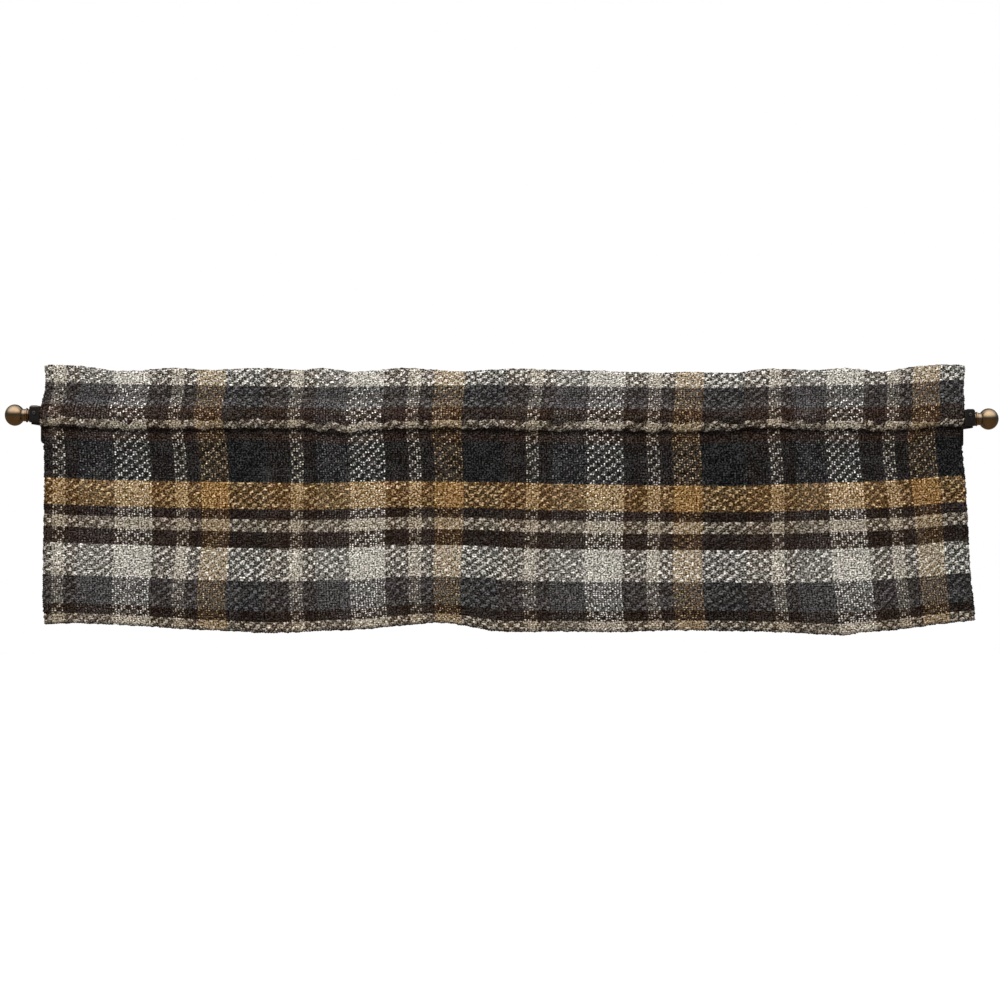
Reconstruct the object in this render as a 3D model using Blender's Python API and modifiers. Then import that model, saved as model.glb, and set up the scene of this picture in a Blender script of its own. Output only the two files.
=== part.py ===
"""Window valance on a curtain rod.

A gathered plaid valance with a stand-up heading and a rod pocket hangs on a plain metal rod. The rod lies in
two cup brackets, is held there by a set screw in each cup, and ends in two turned ball finials.

Metres. +X runs along the rod to the viewer's right, -Y is the front and +Z is up. The origin lies on the wall's
face, midway along the rod and level with the rod's axis there. Depths are measured forward from the rod's axis.
"""

import math

import bmesh
import bpy
from mathutils import Vector

# ---- Cloth ----
CLOTH_THICKNESS = 0.0018
HEADING = 0.0485              # from the top fold down to the pocket's upper stitching
LAYER_OFFSET = 0.00125        # from the middle of two layers sewn together to the middle of either one
FOLD_RADIUS = 0.0018          # of the cloth's own turn at the top fold and at the hem
HEM_DEPTH = 0.025             # of the hem that is turned up behind
SEAM_TAIL = 0.012             # of the turned end below the pocket, behind
POCKET_SLACK = 0.002          # least distance from the cloth round the rod down to the lower stitching
COLUMNS = 76                  # faces across the cloth
PANEL_ROWS = 9                # faces down the front panel
ARC_POINTS = 5                # where the pocket lies on the rod, in front and again behind

# ---- Rod, finials and brackets ----
ROD_RADIUS = 0.008
ROD_WALL = 0.001
ROD_LEFT = -0.7315
ROD_RIGHT = 0.7335
ROD_REACH = 0.070             # from the wall to the rod's axis
ROD_DROP = 0.0059             # the right end lies this much lower than the left
SEAT_GAP = 0.0004             # between the rod and what it lies in or what lies on it
JOINT_GAP = 0.0003            # between two pieces that meet
ROUND_STEPS = 32
HOLE_STEPS = 16
SCREW_STEPS = 20

FINIAL_LENGTH = 0.0375        # from the collar's face to the tip
BALL_RADIUS = 0.0166
BALL_HALF_LENGTH = 0.0153     # the ball is a little flattened along the rod
NECK_RADIUS = 0.0097
SPIGOT_LENGTH = 0.021

CUP_WIDTH = 0.015             # along the rod
CUP_WALL = 0.003
CUP_TOP = 0.0150              # above the rod's axis
CUP_BOTTOM = 0.0112           # below it
CUP_CORNER = 0.0040           # of the cup's two upper corners, seen from the front
CUP_EDGE = 0.0007             # of its small edges
COLLAR_CLEARANCE = 0.0003     # between a cup and the finial's collar, past the rod's end
ARM_WIDTH = 0.011
ARM_THICKNESS = 0.004
ARM_DROP = 0.0030             # from the cup's bottom down to the arm's
PLATE_WIDTH = 0.014
PLATE_HEIGHT = 0.060
PLATE_THICKNESS = 0.003
PLATE_ROUNDING = 0.9          # of half its width
PLATE_DROP = 0.0125           # from the rod's axis down to the plate's middle
WALL_HOLE_RADIUS = 0.0022
WALL_HOLE_SPREAD = 0.038
SCREW_RISE = 0.0040           # of the set screw above the rod's axis
SCREW_HEAD_RADIUS = 0.0030
SCREW_HEAD_HEIGHT = 0.0016
SCREW_SHANK_RADIUS = 0.0016
SOCKET_RADIUS = 0.0014
SOCKET_DEPTH = 0.0010

# ---- Outline of the hung cloth, in millimetres from the origin ----
TOP_EDGE = (                  # the top fold
    # x, height
    (-706, 81), (-653, 79), (-591, 71.5), (-506, 76), (-459, 73), (-371, 76), (-312, 73), (-278, 76),
    (-226, 70), (-149, 76), (-64, 71), (14, 74.5), (92, 73), (154, 71.5), (247, 68.5), (293, 70),
    (363, 68.5), (409, 74.5), (487, 73), (541, 75.5), (588, 70), (627, 76), (658, 80), (717, 81),
)
HEM_EDGE = (                  # the bottom fold
    # x, height
    (-706, -321), (-653, -319), (-560, -324), (-467, -329), (-371, -334), (-312, -333), (-226, -329),
    (-141, -322), (-95, -319), (-64, -322), (-2, -331.5), (123, -332), (185, -333), (278, -330),
    (340, -331.5), (433, -333), (526, -338), (560, -333), (619, -328.5), (681, -321), (735, -315),
)
POCKET_EDGE = (               # the pocket's lower stitching
    # x, height
    (-692, -15), (-613, -20), (-552, -21.5), (-444, -20), (-315, -20), (-236, -28), (-180, -20.5), (0, -20),
    (215, -20), (350, -21.5), (402, -19), (507, -21.5), (634, -23), (673, -17), (712, -15.5),
)
SIDES = (                     # the two cut edges, by height
    # height, left x, right x
    (82, -707, 718), (45, -706, 715), (27, -710, 716), (11, -713.5, 716), (-5, -713.5, 716),
    (-23, -712, 713.5), (-60, -709, 716.5), (-116, -707, 719.5), (-190, -709, 724), (-246, -710, 727.5),
    (-284, -710, 732), (-335, -706, 737),
)
FOLDS = (                     # crests and valleys of the front panel, at the hem
    # x, depth forward
    (-712, -2), (-640, 7), (-560, -6), (-478, 8), (-415, -5), (-350, 9), (-282, -6), (-212, 7), (-110, -9),
    (-4, 10), (66, -4), (140, 6), (215, -6), (292, 8), (362, -7), (430, 6), (478, -3), (528, 10), (606, -8),
    (672, 5), (735, -4),
)
FOLD_SPREAD = 0.9             # under 1, a fold opens early below the pocket
FOLD_AT_POCKET = 0.22         # share of a fold that is left at the pocket's lower stitching
FOLD_AT_HEADING = 0.16        # and at its upper stitching
FOLD_AT_TOP = 0.42            # and at the heading's top edge
HEADING_LEAN = -0.002         # the heading leans back towards the wall
PUCKER = 0.10                 # share of a fold that stands off the rod in the pocket

MM = 0.001


# ---- Helpers ----
def clear_scene():
    for obj in list(bpy.data.objects):
        bpy.data.objects.remove(obj, do_unlink=True)


def new_collection(name):
    collection = bpy.data.collections.new(name)
    bpy.context.scene.collection.children.link(collection)
    return collection


def material(name, colour, roughness, metallic=0.0):
    mat = bpy.data.materials.new(name)
    mat.use_nodes = True
    shader = mat.node_tree.nodes["Principled BSDF"]
    shader.inputs["Base Color"].default_value = (*colour, 1.0)
    shader.inputs["Roughness"].default_value = roughness
    shader.inputs["Metallic"].default_value = metallic
    return mat


def mesh_object(name, bm, collection, mat=None):
    mesh = bpy.data.meshes.new(name)
    bm.to_mesh(mesh)
    bm.free()
    obj = bpy.data.objects.new(name, mesh)
    collection.objects.link(obj)
    if mat:
        mesh.materials.append(mat)
    return obj


def box(name, low, high, collection, mat=None, round_radius=0.0, round_from=-math.inf):
    """A box between two corners, modelled about its own middle.

    Its edges that run along Y can be rounded, from a height round_from upwards.
    """
    low, high = Vector(low), Vector(high)
    middle = (low + high) / 2
    bm = bmesh.new()
    bmesh.ops.create_cube(bm, size=1.0)
    bmesh.ops.scale(bm, vec=high - low, verts=bm.verts)
    if round_radius:
        along_y = [edge for edge in bm.edges
                   if abs((edge.verts[0].co - edge.verts[1].co).normalized().y) > 0.9
                   and edge.verts[0].co.z + middle.z > round_from]
        bmesh.ops.bevel(bm, geom=along_y, offset=round_radius, segments=5, profile=0.5, affect="EDGES")
    obj = mesh_object(name, bm, collection, mat)
    obj.location = middle
    return obj


def cylinder(name, centre, radius, length, rotation, collection, segments=ROUND_STEPS):
    bm = bmesh.new()
    bmesh.ops.create_cone(
        bm, cap_ends=True, segments=segments, radius1=radius, radius2=radius, depth=length)
    obj = mesh_object(name, bm, collection)
    obj.location = centre
    obj.rotation_euler = rotation
    return obj


def turned(name, profile, closed, collection, mat, steps=ROUND_STEPS):
    """A profile of (radius, height) points, listed down its outer side, turned about the local Z axis."""
    bm = bmesh.new()
    verts = [bm.verts.new((radius, 0.0, height)) for radius, height in profile]
    for first, second in zip(verts, verts[1:]):
        bm.edges.new((first, second))
    if closed:
        bm.edges.new((verts[-1], verts[0]))
    obj = mesh_object(name, bm, collection, mat)
    screw = obj.modifiers.new("Turn", "SCREW")
    screw.axis = "Z"
    screw.steps = steps
    screw.render_steps = steps
    screw.use_merge_vertices = True
    screw.merge_threshold = 0.00005
    screw.use_smooth_shade = True
    return obj


def boolean(obj, other, operation):
    modifier = obj.modifiers.new(other.name, "BOOLEAN")
    modifier.operation = operation
    modifier.solver = "EXACT"
    modifier.object = other


def guide(obj):
    """A cutter or a shape that is only joined to another piece."""
    obj.hide_render = True
    obj.display_type = "WIRE"
    return obj


def bevel(obj, width, segments):
    modifier = obj.modifiers.new("Bevel", "BEVEL")
    modifier.width = width
    modifier.segments = segments
    modifier.limit_method = "ANGLE"


def read_table(table, column, at):
    """A smooth curve through a table's rows, whose first column rises or falls all the way."""
    rows = sorted(table)
    at /= MM
    if at <= rows[0][0]:
        return rows[0][column] * MM
    if at >= rows[-1][0]:
        return rows[-1][column] * MM
    here = max(i for i in range(len(rows) - 1) if rows[i][0] <= at)
    before, start, end, after = (rows[min(max(i, 0), len(rows) - 1)] for i in range(here - 1, here + 3))
    span = end[0] - start[0]
    t = (at - start[0]) / span
    slope_in = (end[column] - before[column]) / (end[0] - before[0]) * span
    slope_out = (after[column] - start[column]) / (after[0] - start[0]) * span
    value = ((2 * t**3 - 3 * t**2 + 1) * start[column] + (t**3 - 2 * t**2 + t) * slope_in
             + (3 * t**2 - 2 * t**3) * end[column] + (t**3 - t**2) * slope_out)
    return value * MM


# ---- Rod line ----
def rod_height(x):
    """Height of the rod's axis, which drops a little from left to right."""
    return -ROD_DROP * x / (ROD_RIGHT - ROD_LEFT)


ROD_TILT = math.atan2(ROD_DROP, ROD_RIGHT - ROD_LEFT)


# ---- Cloth ----
def side_place(across, height):
    """x of a point of the cloth: across runs from 0 at its left edge to 1 at its right edge."""
    left, right = read_table(SIDES, 1, height), read_table(SIDES, 2, height)
    return left + (right - left) * across


def cloth_section(across):
    """(depth, height) points of the cloth's middle at one place across it.

    The path starts at the hem's turned end behind, goes round the hem, up the front panel, over the front of
    the rod, up the heading, over its top fold and down behind the rod to the turned end below the pocket.
    """
    half = CLOTH_THICKNESS / 2
    top_level, hem_level = TOP_EDGE[0][1] * MM, HEM_EDGE[0][1] * MM
    x_top, x_rod, x_hem = (side_place(across, level) for level in (top_level, 0.0, hem_level))
    top = read_table(TOP_EDGE, 1, x_top) - half
    hem = read_table(HEM_EDGE, 1, x_hem) + half
    axis = rod_height(x_rod)
    wrap = ROD_RADIUS + SEAT_GAP + half
    pocket = min(read_table(POCKET_EDGE, 1, x_rod), axis - wrap - POCKET_SLACK)
    heading = top - HEADING
    fold = read_table(FOLDS, 1, x_hem)
    at_pocket, at_heading = fold * FOLD_AT_POCKET, fold * FOLD_AT_HEADING
    at_top = fold * FOLD_AT_TOP + HEADING_LEAN

    def panel_middle(height):
        """The folds open steadily from the pocket to the hem."""
        share = (pocket - height) / (pocket - hem)
        return at_pocket + (fold - at_pocket) * share**FOLD_SPREAD

    def layer(middle, height, side):
        return (middle + side * LAYER_OFFSET, height)

    def turn(middle, edge, inward, side):
        """Shoulder of a fold, just inside its edge."""
        return (middle + side * FOLD_RADIUS, edge + inward * FOLD_RADIUS)

    path = [layer(panel_middle(hem + HEM_DEPTH), hem + HEM_DEPTH, -1),
            layer(panel_middle(hem + HEM_DEPTH / 2), hem + HEM_DEPTH / 2, -1),
            turn(fold, hem, 1, -1), (fold, hem), turn(fold, hem, 1, 1)]
    lowest = hem + HEM_DEPTH / 2
    for row in range(PANEL_ROWS):
        height = lowest + (pocket - lowest) * row / PANEL_ROWS
        path.append(layer(panel_middle(height), height, 1))
    path.append(layer(at_pocket, pocket, 1))

    low_angle = math.acos(wrap / (axis - pocket))
    high_angle = math.acos(wrap / (heading - axis))
    arc_start, arc_end = low_angle - math.pi / 2, math.pi / 2 - high_angle

    def over_rod(side):
        lift = max(0.0, side * fold * PUCKER)
        for step in range(ARC_POINTS):
            angle = arc_start + (arc_end - arc_start) * step / (ARC_POINTS - 1)
            yield (side * (wrap + lift) * math.cos(angle), axis + (wrap + lift) * math.sin(angle))

    path += over_rod(1)
    path.append(layer(at_heading, heading, 1))
    path.append(layer((at_heading + at_top) / 2, (heading + top) / 2, 1))
    path += [turn(at_top, top, -1, 1), (at_top, top), turn(at_top, top, -1, -1)]
    path.append(layer((at_heading + at_top) / 2, (heading + top) / 2, -1))
    path.append(layer(at_heading, heading, -1))
    path += reversed(list(over_rod(-1)))
    path.append(layer(at_pocket, pocket, -1))
    path.append(layer(panel_middle(pocket - SEAM_TAIL), pocket - SEAM_TAIL, -1))
    return path


def make_cloth(collection):
    steps = len(cloth_section(0.5))
    bm = bmesh.new()
    bmesh.ops.create_grid(bm, x_segments=COLUMNS, y_segments=steps - 1, size=0.5)
    for vert in bm.verts:
        across = vert.co.x + 0.5
        step = round((vert.co.y + 0.5) * (steps - 1))
        depth, height = cloth_section(across)[step]
        vert.co = (side_place(across, height), -ROD_REACH - depth, height)
    cloth = mesh_object("valance", bm, collection, material("plaid_cloth", (0.13, 0.11, 0.10), 0.95))
    solid = cloth.modifiers.new("Thickness", "SOLIDIFY")
    solid.thickness = CLOTH_THICKNESS
    solid.offset = 0.0
    solid.use_even_offset = True
    return cloth


# ---- Rod and finials ----
def make_rod(collection, metal):
    """A round tube, with its axis turned from the local Z to the rod's slightly sloping line."""
    middle = (ROD_LEFT + ROD_RIGHT) / 2
    half = (ROD_RIGHT - ROD_LEFT) / 2
    inner = ROD_RADIUS - ROD_WALL
    profile = [(ROD_RADIUS, half), (ROD_RADIUS, -half), (inner, -half), (inner, half)]
    rod = turned("rod", profile, True, collection, metal)
    rod.location = (middle, -ROD_REACH, rod_height(middle))
    rod.rotation_euler = (0.0, math.pi / 2 + ROD_TILT, 0.0)
    return rod


def finial_profile():
    """(radius, distance from the collar's face) from the tip down to the end of the spigot in the tube."""
    middle = FINIAL_LENGTH - BALL_HALF_LENGTH
    neck_angle = math.pi - math.asin(NECK_RADIUS / BALL_RADIUS)
    arc_steps = 12
    ball = [(BALL_RADIUS * math.sin(neck_angle * i / arc_steps),
             middle + BALL_HALF_LENGTH * math.cos(neck_angle * i / arc_steps)) for i in range(arc_steps + 1)]
    ring = [(0.0094, 0.0066), (0.0095, 0.0052), (0.0103, 0.0047), (0.0112, 0.0038), (0.0112, 0.0030),
            (0.0103, 0.0021), (0.0088, 0.0017), (0.0093, 0.0011), (0.0091, 0.0)]
    spigot = ROD_RADIUS - ROD_WALL - SEAT_GAP
    stem = [(spigot, 0.0), (spigot, 0.001 - SPIGOT_LENGTH), (spigot - 0.001, -SPIGOT_LENGTH),
            (0.0, -SPIGOT_LENGTH)]
    return ball + ring + stem


def make_finial(side, name, collection, metal):
    end = ROD_LEFT if side < 0 else ROD_RIGHT
    face = end + side * JOINT_GAP
    finial = turned(name, finial_profile(), False, collection, metal)
    finial.location = (face, -ROD_REACH, rod_height(face))
    finial.rotation_euler = (0.0, side * math.pi / 2 + ROD_TILT, 0.0)
    return finial


# ---- Brackets ----
def cup_middle(side):
    end = ROD_LEFT if side < 0 else ROD_RIGHT
    return end - side * (COLLAR_CLEARANCE + CUP_WIDTH / 2)


def make_bracket(side, name, collection, cutters, metal):
    """A cup open at the top, on an arm that runs back under it to a plate on the wall."""
    x = cup_middle(side)
    axis = rod_height(x)
    bore_radius = ROD_RADIUS + SEAT_GAP
    front = -ROD_REACH - bore_radius - CUP_WALL
    back = -ROD_REACH + bore_radius + CUP_WALL
    half_cup, half_arm, half_plate = CUP_WIDTH / 2, ARM_WIDTH / 2, PLATE_WIDTH / 2
    along_x, along_y = (0.0, math.pi / 2, 0.0), (math.pi / 2, 0.0, 0.0)

    cup = box(name, (x - half_cup, front, axis - CUP_BOTTOM), (x + half_cup, back, axis + CUP_TOP),
              collection, metal, round_radius=CUP_CORNER, round_from=axis)
    bevel(cup, CUP_EDGE, 2)

    arm_low = axis - CUP_BOTTOM - ARM_DROP
    arm = guide(box(name + "_arm", (x - half_arm, front + CUP_WALL, arm_low),
                    (x + half_arm, -PLATE_THICKNESS / 2, arm_low + ARM_THICKNESS), cutters))
    bevel(arm, CUP_EDGE, 2)
    boolean(cup, arm, "UNION")

    plate_middle = axis - PLATE_DROP
    plate = guide(box(name + "_plate", (x - half_plate, -PLATE_THICKNESS, plate_middle - PLATE_HEIGHT / 2),
                      (x + half_plate, 0.0, plate_middle + PLATE_HEIGHT / 2), cutters,
                      round_radius=half_plate * PLATE_ROUNDING))
    boolean(cup, plate, "UNION")

    bore = guide(cylinder(name + "_bore", (x, -ROD_REACH, axis), bore_radius, 2 * CUP_WIDTH,
                          along_x, cutters))
    boolean(cup, bore, "DIFFERENCE")
    slot = guide(box(name + "_slot", (x - CUP_WIDTH, -ROD_REACH - bore_radius, axis),
                     (x + CUP_WIDTH, -ROD_REACH + bore_radius, axis + 2 * CUP_TOP), cutters))
    boolean(cup, slot, "DIFFERENCE")

    screw_hole = guide(cylinder(name + "_screw_hole", (x, front, axis + SCREW_RISE),
                                SCREW_SHANK_RADIUS + JOINT_GAP, 2.5 * CUP_WALL, along_y, cutters, HOLE_STEPS))
    boolean(cup, screw_hole, "DIFFERENCE")
    for label, rise in (("upper", WALL_HOLE_SPREAD / 2), ("lower", -WALL_HOLE_SPREAD / 2)):
        hole = guide(cylinder(name + "_" + label + "_hole", (x, 0.0, plate_middle + rise),
                              WALL_HOLE_RADIUS, 4 * PLATE_THICKNESS, along_y, cutters, HOLE_STEPS))
        boolean(cup, hole, "DIFFERENCE")
    return cup


def make_set_screw(side, name, collection, cutters, metal):
    """A small round-headed screw through the cup's front wall, with a six-sided socket in its head."""
    x = cup_middle(side)
    height = rod_height(x) + SCREW_RISE
    seat = ROD_RADIUS + SEAT_GAP + CUP_WALL + JOINT_GAP
    shank_low = SCREW_RISE - SCREW_SHANK_RADIUS
    shank_end = math.sqrt(ROD_RADIUS**2 - shank_low**2) + SEAT_GAP
    head_top, rim = SCREW_HEAD_HEIGHT, 0.7 * SCREW_HEAD_HEIGHT
    profile = [(0.0, head_top), (0.8 * SCREW_HEAD_RADIUS, head_top), (SCREW_HEAD_RADIUS, rim),
               (SCREW_HEAD_RADIUS, 0.0), (SCREW_SHANK_RADIUS, 0.0), (SCREW_SHANK_RADIUS, shank_end - seat),
               (0.0, shank_end - seat)]
    screw = turned(name, profile, False, collection, metal, steps=SCREW_STEPS)
    screw.location = (x, -ROD_REACH - seat, height)
    screw.rotation_euler = (math.pi / 2, 0.0, 0.0)
    six_sides = 6
    socket = guide(cylinder(name + "_socket", (x, -ROD_REACH - seat - head_top, height), SOCKET_RADIUS,
                            2 * SOCKET_DEPTH, screw.rotation_euler, cutters, six_sides))
    boolean(screw, socket, "DIFFERENCE")
    return screw


def build():
    clear_scene()
    parts = new_collection("window_valance")
    cutters = new_collection("cutters")
    bronze = material("bronzed_rod", (0.05, 0.035, 0.025), 0.45, 0.6)
    brass = material("aged_brass", (0.42, 0.25, 0.11), 0.38, 0.9)
    black = material("black_bracket", (0.015, 0.014, 0.013), 0.5)

    make_cloth(parts)
    make_rod(parts, bronze)
    for side, label in ((-1, "left"), (1, "right")):
        make_finial(side, "finial_" + label, parts, brass)
        make_bracket(side, "bracket_" + label, parts, cutters, black)
        make_set_screw(side, "set_screw_" + label, parts, cutters, black)


build()
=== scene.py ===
# %% [markdown]
# # A plaid window valance on a rod
#
# A valance is a short, wide curtain. This one is a length of chunky woven plaid, folded over at the top and
# stitched twice to make a stand-up heading with a pocket under it. A plain rod runs through the pocket,
# lies in two small cup brackets and ends in two turned finials.
#
# The frame that is loaded here holds the engineered solids. Every piece below is made in the same metres
# and in the same place, so nothing has to be fitted afterwards.

# %% Load the frame
import math

import bmesh
import bpy
import numpy as np
from mathutils import Euler, Matrix, Vector


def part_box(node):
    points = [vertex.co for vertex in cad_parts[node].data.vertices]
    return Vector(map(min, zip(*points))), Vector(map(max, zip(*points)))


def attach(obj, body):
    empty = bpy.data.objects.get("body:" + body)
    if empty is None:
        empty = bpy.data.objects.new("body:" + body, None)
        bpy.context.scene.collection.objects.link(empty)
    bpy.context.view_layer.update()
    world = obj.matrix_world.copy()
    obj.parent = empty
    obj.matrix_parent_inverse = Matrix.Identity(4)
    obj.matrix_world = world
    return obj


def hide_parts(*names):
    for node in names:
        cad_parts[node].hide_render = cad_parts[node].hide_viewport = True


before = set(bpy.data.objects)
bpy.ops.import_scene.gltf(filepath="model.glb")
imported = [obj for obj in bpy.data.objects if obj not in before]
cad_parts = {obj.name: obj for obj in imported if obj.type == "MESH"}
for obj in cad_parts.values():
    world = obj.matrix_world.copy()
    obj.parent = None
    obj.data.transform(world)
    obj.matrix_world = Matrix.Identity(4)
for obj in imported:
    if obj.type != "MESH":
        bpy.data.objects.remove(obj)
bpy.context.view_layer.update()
MM = 0.001
print("nodes in the frame:", ", ".join(sorted(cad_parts)))

# %% [markdown]
# ## Where the rod is
#
# The rod's line carries everything else, so it is written once, in a few numbers: how far it stands out
# from the wall, where it begins and ends, and how far it drops to the right. The frame's origin lies on the
# wall, level with the rod's axis.

# %% The rod's line
ROD_RADIUS = 0.008
ROD_REACH = 0.070
ROD_LEFT, ROD_RIGHT = -0.7315, 0.7335
ROD_DROP = 0.0059
ROD_TILT = math.atan2(ROD_DROP, ROD_RIGHT - ROD_LEFT)
SEAT_GAP = 0.0004             # between the rod and what it lies in or carries
JOINT_GAP = 0.0003            # between the rod's ends and the finials' collars


def rod_height(x):
    """Height of the rod's axis."""
    return -ROD_DROP * x / (ROD_RIGHT - ROD_LEFT)


rod_low, rod_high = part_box("rod")
print(f"rod from x {rod_low.x:.4f} to {rod_high.x:.4f} m, {rod_high.y - rod_low.y:.4f} m thick")

# %% [markdown]
# ## Camera
#
# The valance is seen square on, from about three metres away, as a buyer sees it across a room. The view's
# width at the cloth is 1.551 m, and the lens follows from that width and the distance.

# %% The camera
VIEW_WIDTH = 1.551
VIEW_DISTANCE = 3.2
VIEW_CENTRE = Vector((-0.0016, -ROD_REACH, -0.1286))
SENSOR_WIDTH = 36.0

camera_data = bpy.data.cameras.new("camera")
camera_data.sensor_width = SENSOR_WIDTH
camera_data.lens = SENSOR_WIDTH * VIEW_DISTANCE / VIEW_WIDTH
camera = bpy.data.objects.new("camera", camera_data)
camera.location = VIEW_CENTRE + Vector((0.0, -VIEW_DISTANCE, 0.0))
camera.rotation_euler = (math.pi / 2, 0.0, 0.0)
bpy.context.collection.objects.link(camera)
bpy.context.scene.camera = camera
print(f"lens {camera_data.lens:.1f} mm")

# %% [markdown]
# ## Wiring materials
#
# A node material is arithmetic on values that change over a surface. Long sums are hard to read as node
# calls, so a wire stands for one socket, and adding or multiplying wires makes the Math nodes. A node group
# is built with its sockets first, then filled with such sums.

# %% Wires
class Wire:
    """One value on its way through a node tree."""

    def __init__(self, tree, socket):
        self.tree, self.socket = tree, socket

    def math(self, operation, other=None, third=None, clamp=False):
        node = self.tree.nodes.new("ShaderNodeMath")
        node.operation = operation
        node.use_clamp = clamp
        for socket, value in zip(node.inputs, (self, other, third)):
            if value is not None:
                feed(socket, value)
        return Wire(self.tree, node.outputs[0])

    def __add__(self, other):
        return self.math("ADD", other)

    def __sub__(self, other):
        return self.math("SUBTRACT", other)

    def __mul__(self, other):
        return self.math("MULTIPLY", other)

    def __truediv__(self, other):
        return self.math("DIVIDE", other)

    __radd__, __rmul__ = __add__, __mul__

    def __rsub__(self, other):
        return self.math("MULTIPLY_ADD", -1.0, other)

    def clamped(self):
        return self.math("ADD", 0.0, clamp=True)


def feed(socket, value):
    """Joins a wire to a socket, or sets a constant on the socket itself."""
    if isinstance(value, Wire):
        value.tree.links.new(value.socket, socket)
    else:
        socket.default_value = value


def place(tree, kind, outlet=0, settings=(), **inlets):
    """A node with its properties and inputs set, as a wire from one of its outlets.

    An inlet is named by its label with underscores for spaces. Its value is a wire or a constant.
    """
    node = tree.nodes.new(kind)
    for name, value in dict(settings).items():
        setattr(node, name, value)
    for label, value in inlets.items():
        feed(next(s for s in node.inputs if s.enabled and s.name == label.replace("_", " ")), value)
    return Wire(tree, node.outputs[outlet])

# %% Node groups
def new_group(name, inlets, outlets):
    """A shader node group with float or colour sockets. Returns it with a wire for each inlet."""
    group = bpy.data.node_groups.new(name, "ShaderNodeTree")
    for label, value in inlets.items():
        kind = "NodeSocketFloat" if isinstance(value, float) else "NodeSocketColor"
        group.interface.new_socket(label, in_out="INPUT", socket_type=kind).default_value = value
    for label, kind in outlets.items():
        group.interface.new_socket(label, in_out="OUTPUT", socket_type="NodeSocket" + kind)
    entry = group.nodes.new("NodeGroupInput")
    group.nodes.new("NodeGroupOutput")
    return group, {label: Wire(group, entry.outputs[label]) for label in inlets}


def put_out(group, **wires):
    """Connects wires to the group's outlets."""
    leave = next(node for node in group.nodes if node.type == "GROUP_OUTPUT")
    for label, wire in wires.items():
        feed(leave.inputs[label.replace("_", " ")], wire)


def use_group(tree, group, **inlets):
    """The group placed in a tree, with its values. Returns a wire for each outlet."""
    node = tree.nodes.new("ShaderNodeGroup")
    node.node_tree = group
    for label, value in inlets.items():
        feed(node.inputs[label.replace("_", " ")], value)
    return {socket.name: Wire(tree, socket) for socket in node.outputs}

# %% Vectors and colours
def vector(x, y, z=0.0):
    return place(x.tree, "ShaderNodeCombineXYZ", X=x, Y=y, Z=z)


def mix(amount, first, second):
    """Between two colours."""
    node = amount.tree.nodes.new("ShaderNodeMix")
    node.data_type = "RGBA"
    for inlet, value in ((0, amount), (6, first), (7, second)):
        feed(node.inputs[inlet], value)
    return Wire(amount.tree, node.outputs[2])


def colour_math(operation, *values):
    """Arithmetic on whole colours, where a single value stands for a grey."""
    tree = next(value.tree for value in values if isinstance(value, Wire))
    node = tree.nodes.new("ShaderNodeVectorMath")
    node.operation = operation
    for socket, value in zip(node.inputs, values):
        feed(socket, value if isinstance(value, Wire) else (value, value, value))
    return Wire(tree, node.outputs[0])


def shaded(colour, amount):
    """A colour made darker or lighter."""
    return colour_math("MULTIPLY", colour, amount)


def linear(colour):
    """An sRGB colour in 0 to 255, as the linear values that shaders use."""
    parts = [c / 255 for c in colour]
    return (*(c / 12.92 if c <= 0.04045 else ((c + 0.055) / 1.055) ** 2.4 for c in parts), 1.0)


# %% [markdown]
# ## The weaver's draft
#
# A plaid is set out in counts of yarns. The same colours are set up lengthwise (the warp) and woven in
# crosswise (the weft), and the squares appear where they cross. The warp repeats every 91 yarns. The weft
# is listed from the cut edge hidden behind the rod pocket, over the top fold, down the front and round the
# hem.

# %% Stripes in yarns
IVORY, BEIGE, BROWN = "ivory", "beige", "brown"
BLACK, GREY, GOLD = "black", "grey", "gold"

WARP_STRIPES = ((GREY, 13), (IVORY, 14), (BROWN, 9), (BEIGE, 5), (BROWN, 5), (GOLD, 11), (BLACK, 15),
                (BROWN, 9), (BEIGE, 5), (BROWN, 5))
WARP_YARNS = 353
WARP_START = 78               # how far into the repeat the cloth's left edge lies

WEFT_BEHIND = ((GOLD, 9), (BROWN, 5), (BEIGE, 6), (BROWN, 8), (IVORY, 7))
WEFT_FRONT = ((IVORY, 9), (GREY, 11), (BROWN, 6), (BEIGE, 5), (BROWN, 7), (BLACK, 19), (GOLD, 13), (BROWN, 5),
              (BEIGE, 6), (BROWN, 8), (IVORY, 16), (GREY, 14), (BROWN, 5), (BEIGE, 5))
WEFT_HEM = ((BROWN, 5), (BLACK, 6))

FLAT_WIDTH = 1.524
WARP_PITCH = FLAT_WIDTH / WARP_YARNS
WEFT_PITCH = 0.00323


def yarns_in(stripes):
    return sum(count for _, count in stripes)


warp_repeat = yarns_in(WARP_STRIPES)
front_yarns, behind_yarns = yarns_in(WEFT_FRONT), yarns_in(WEFT_BEHIND)
print(f"{front_yarns} weft yarns down the front, a warp yarn every {WARP_PITCH / MM:.2f} mm")

# %% [markdown]
# ## Which yarn lies on top
#
# The weave is a broken twill: its floats step along a diagonal as in a twill, but they are pulled into
# pairs as in a basket weave, more so in some patches than in others. The hand-spun look comes from yarns
# that now and then miss their turn. At each crossing these are added up, and the sum says which yarn lies
# on top. A favour moves the balance for yarns that show more, or less, than the rest.

# %% The crossing rule
TWILL_SHARE = 0.45
BASKET_SHARE = 0.60
PATCH_SHARE = 0.9             # how much the two change places from patch to patch
CHANCE_SHARE = 0.58
WEFT_LEAD = -0.08             # above 0, the weft shows more than the warp
REPEAT = 4                    # yarns in one repeat of the weave
REPEAT_PHASE = 0.78


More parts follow.
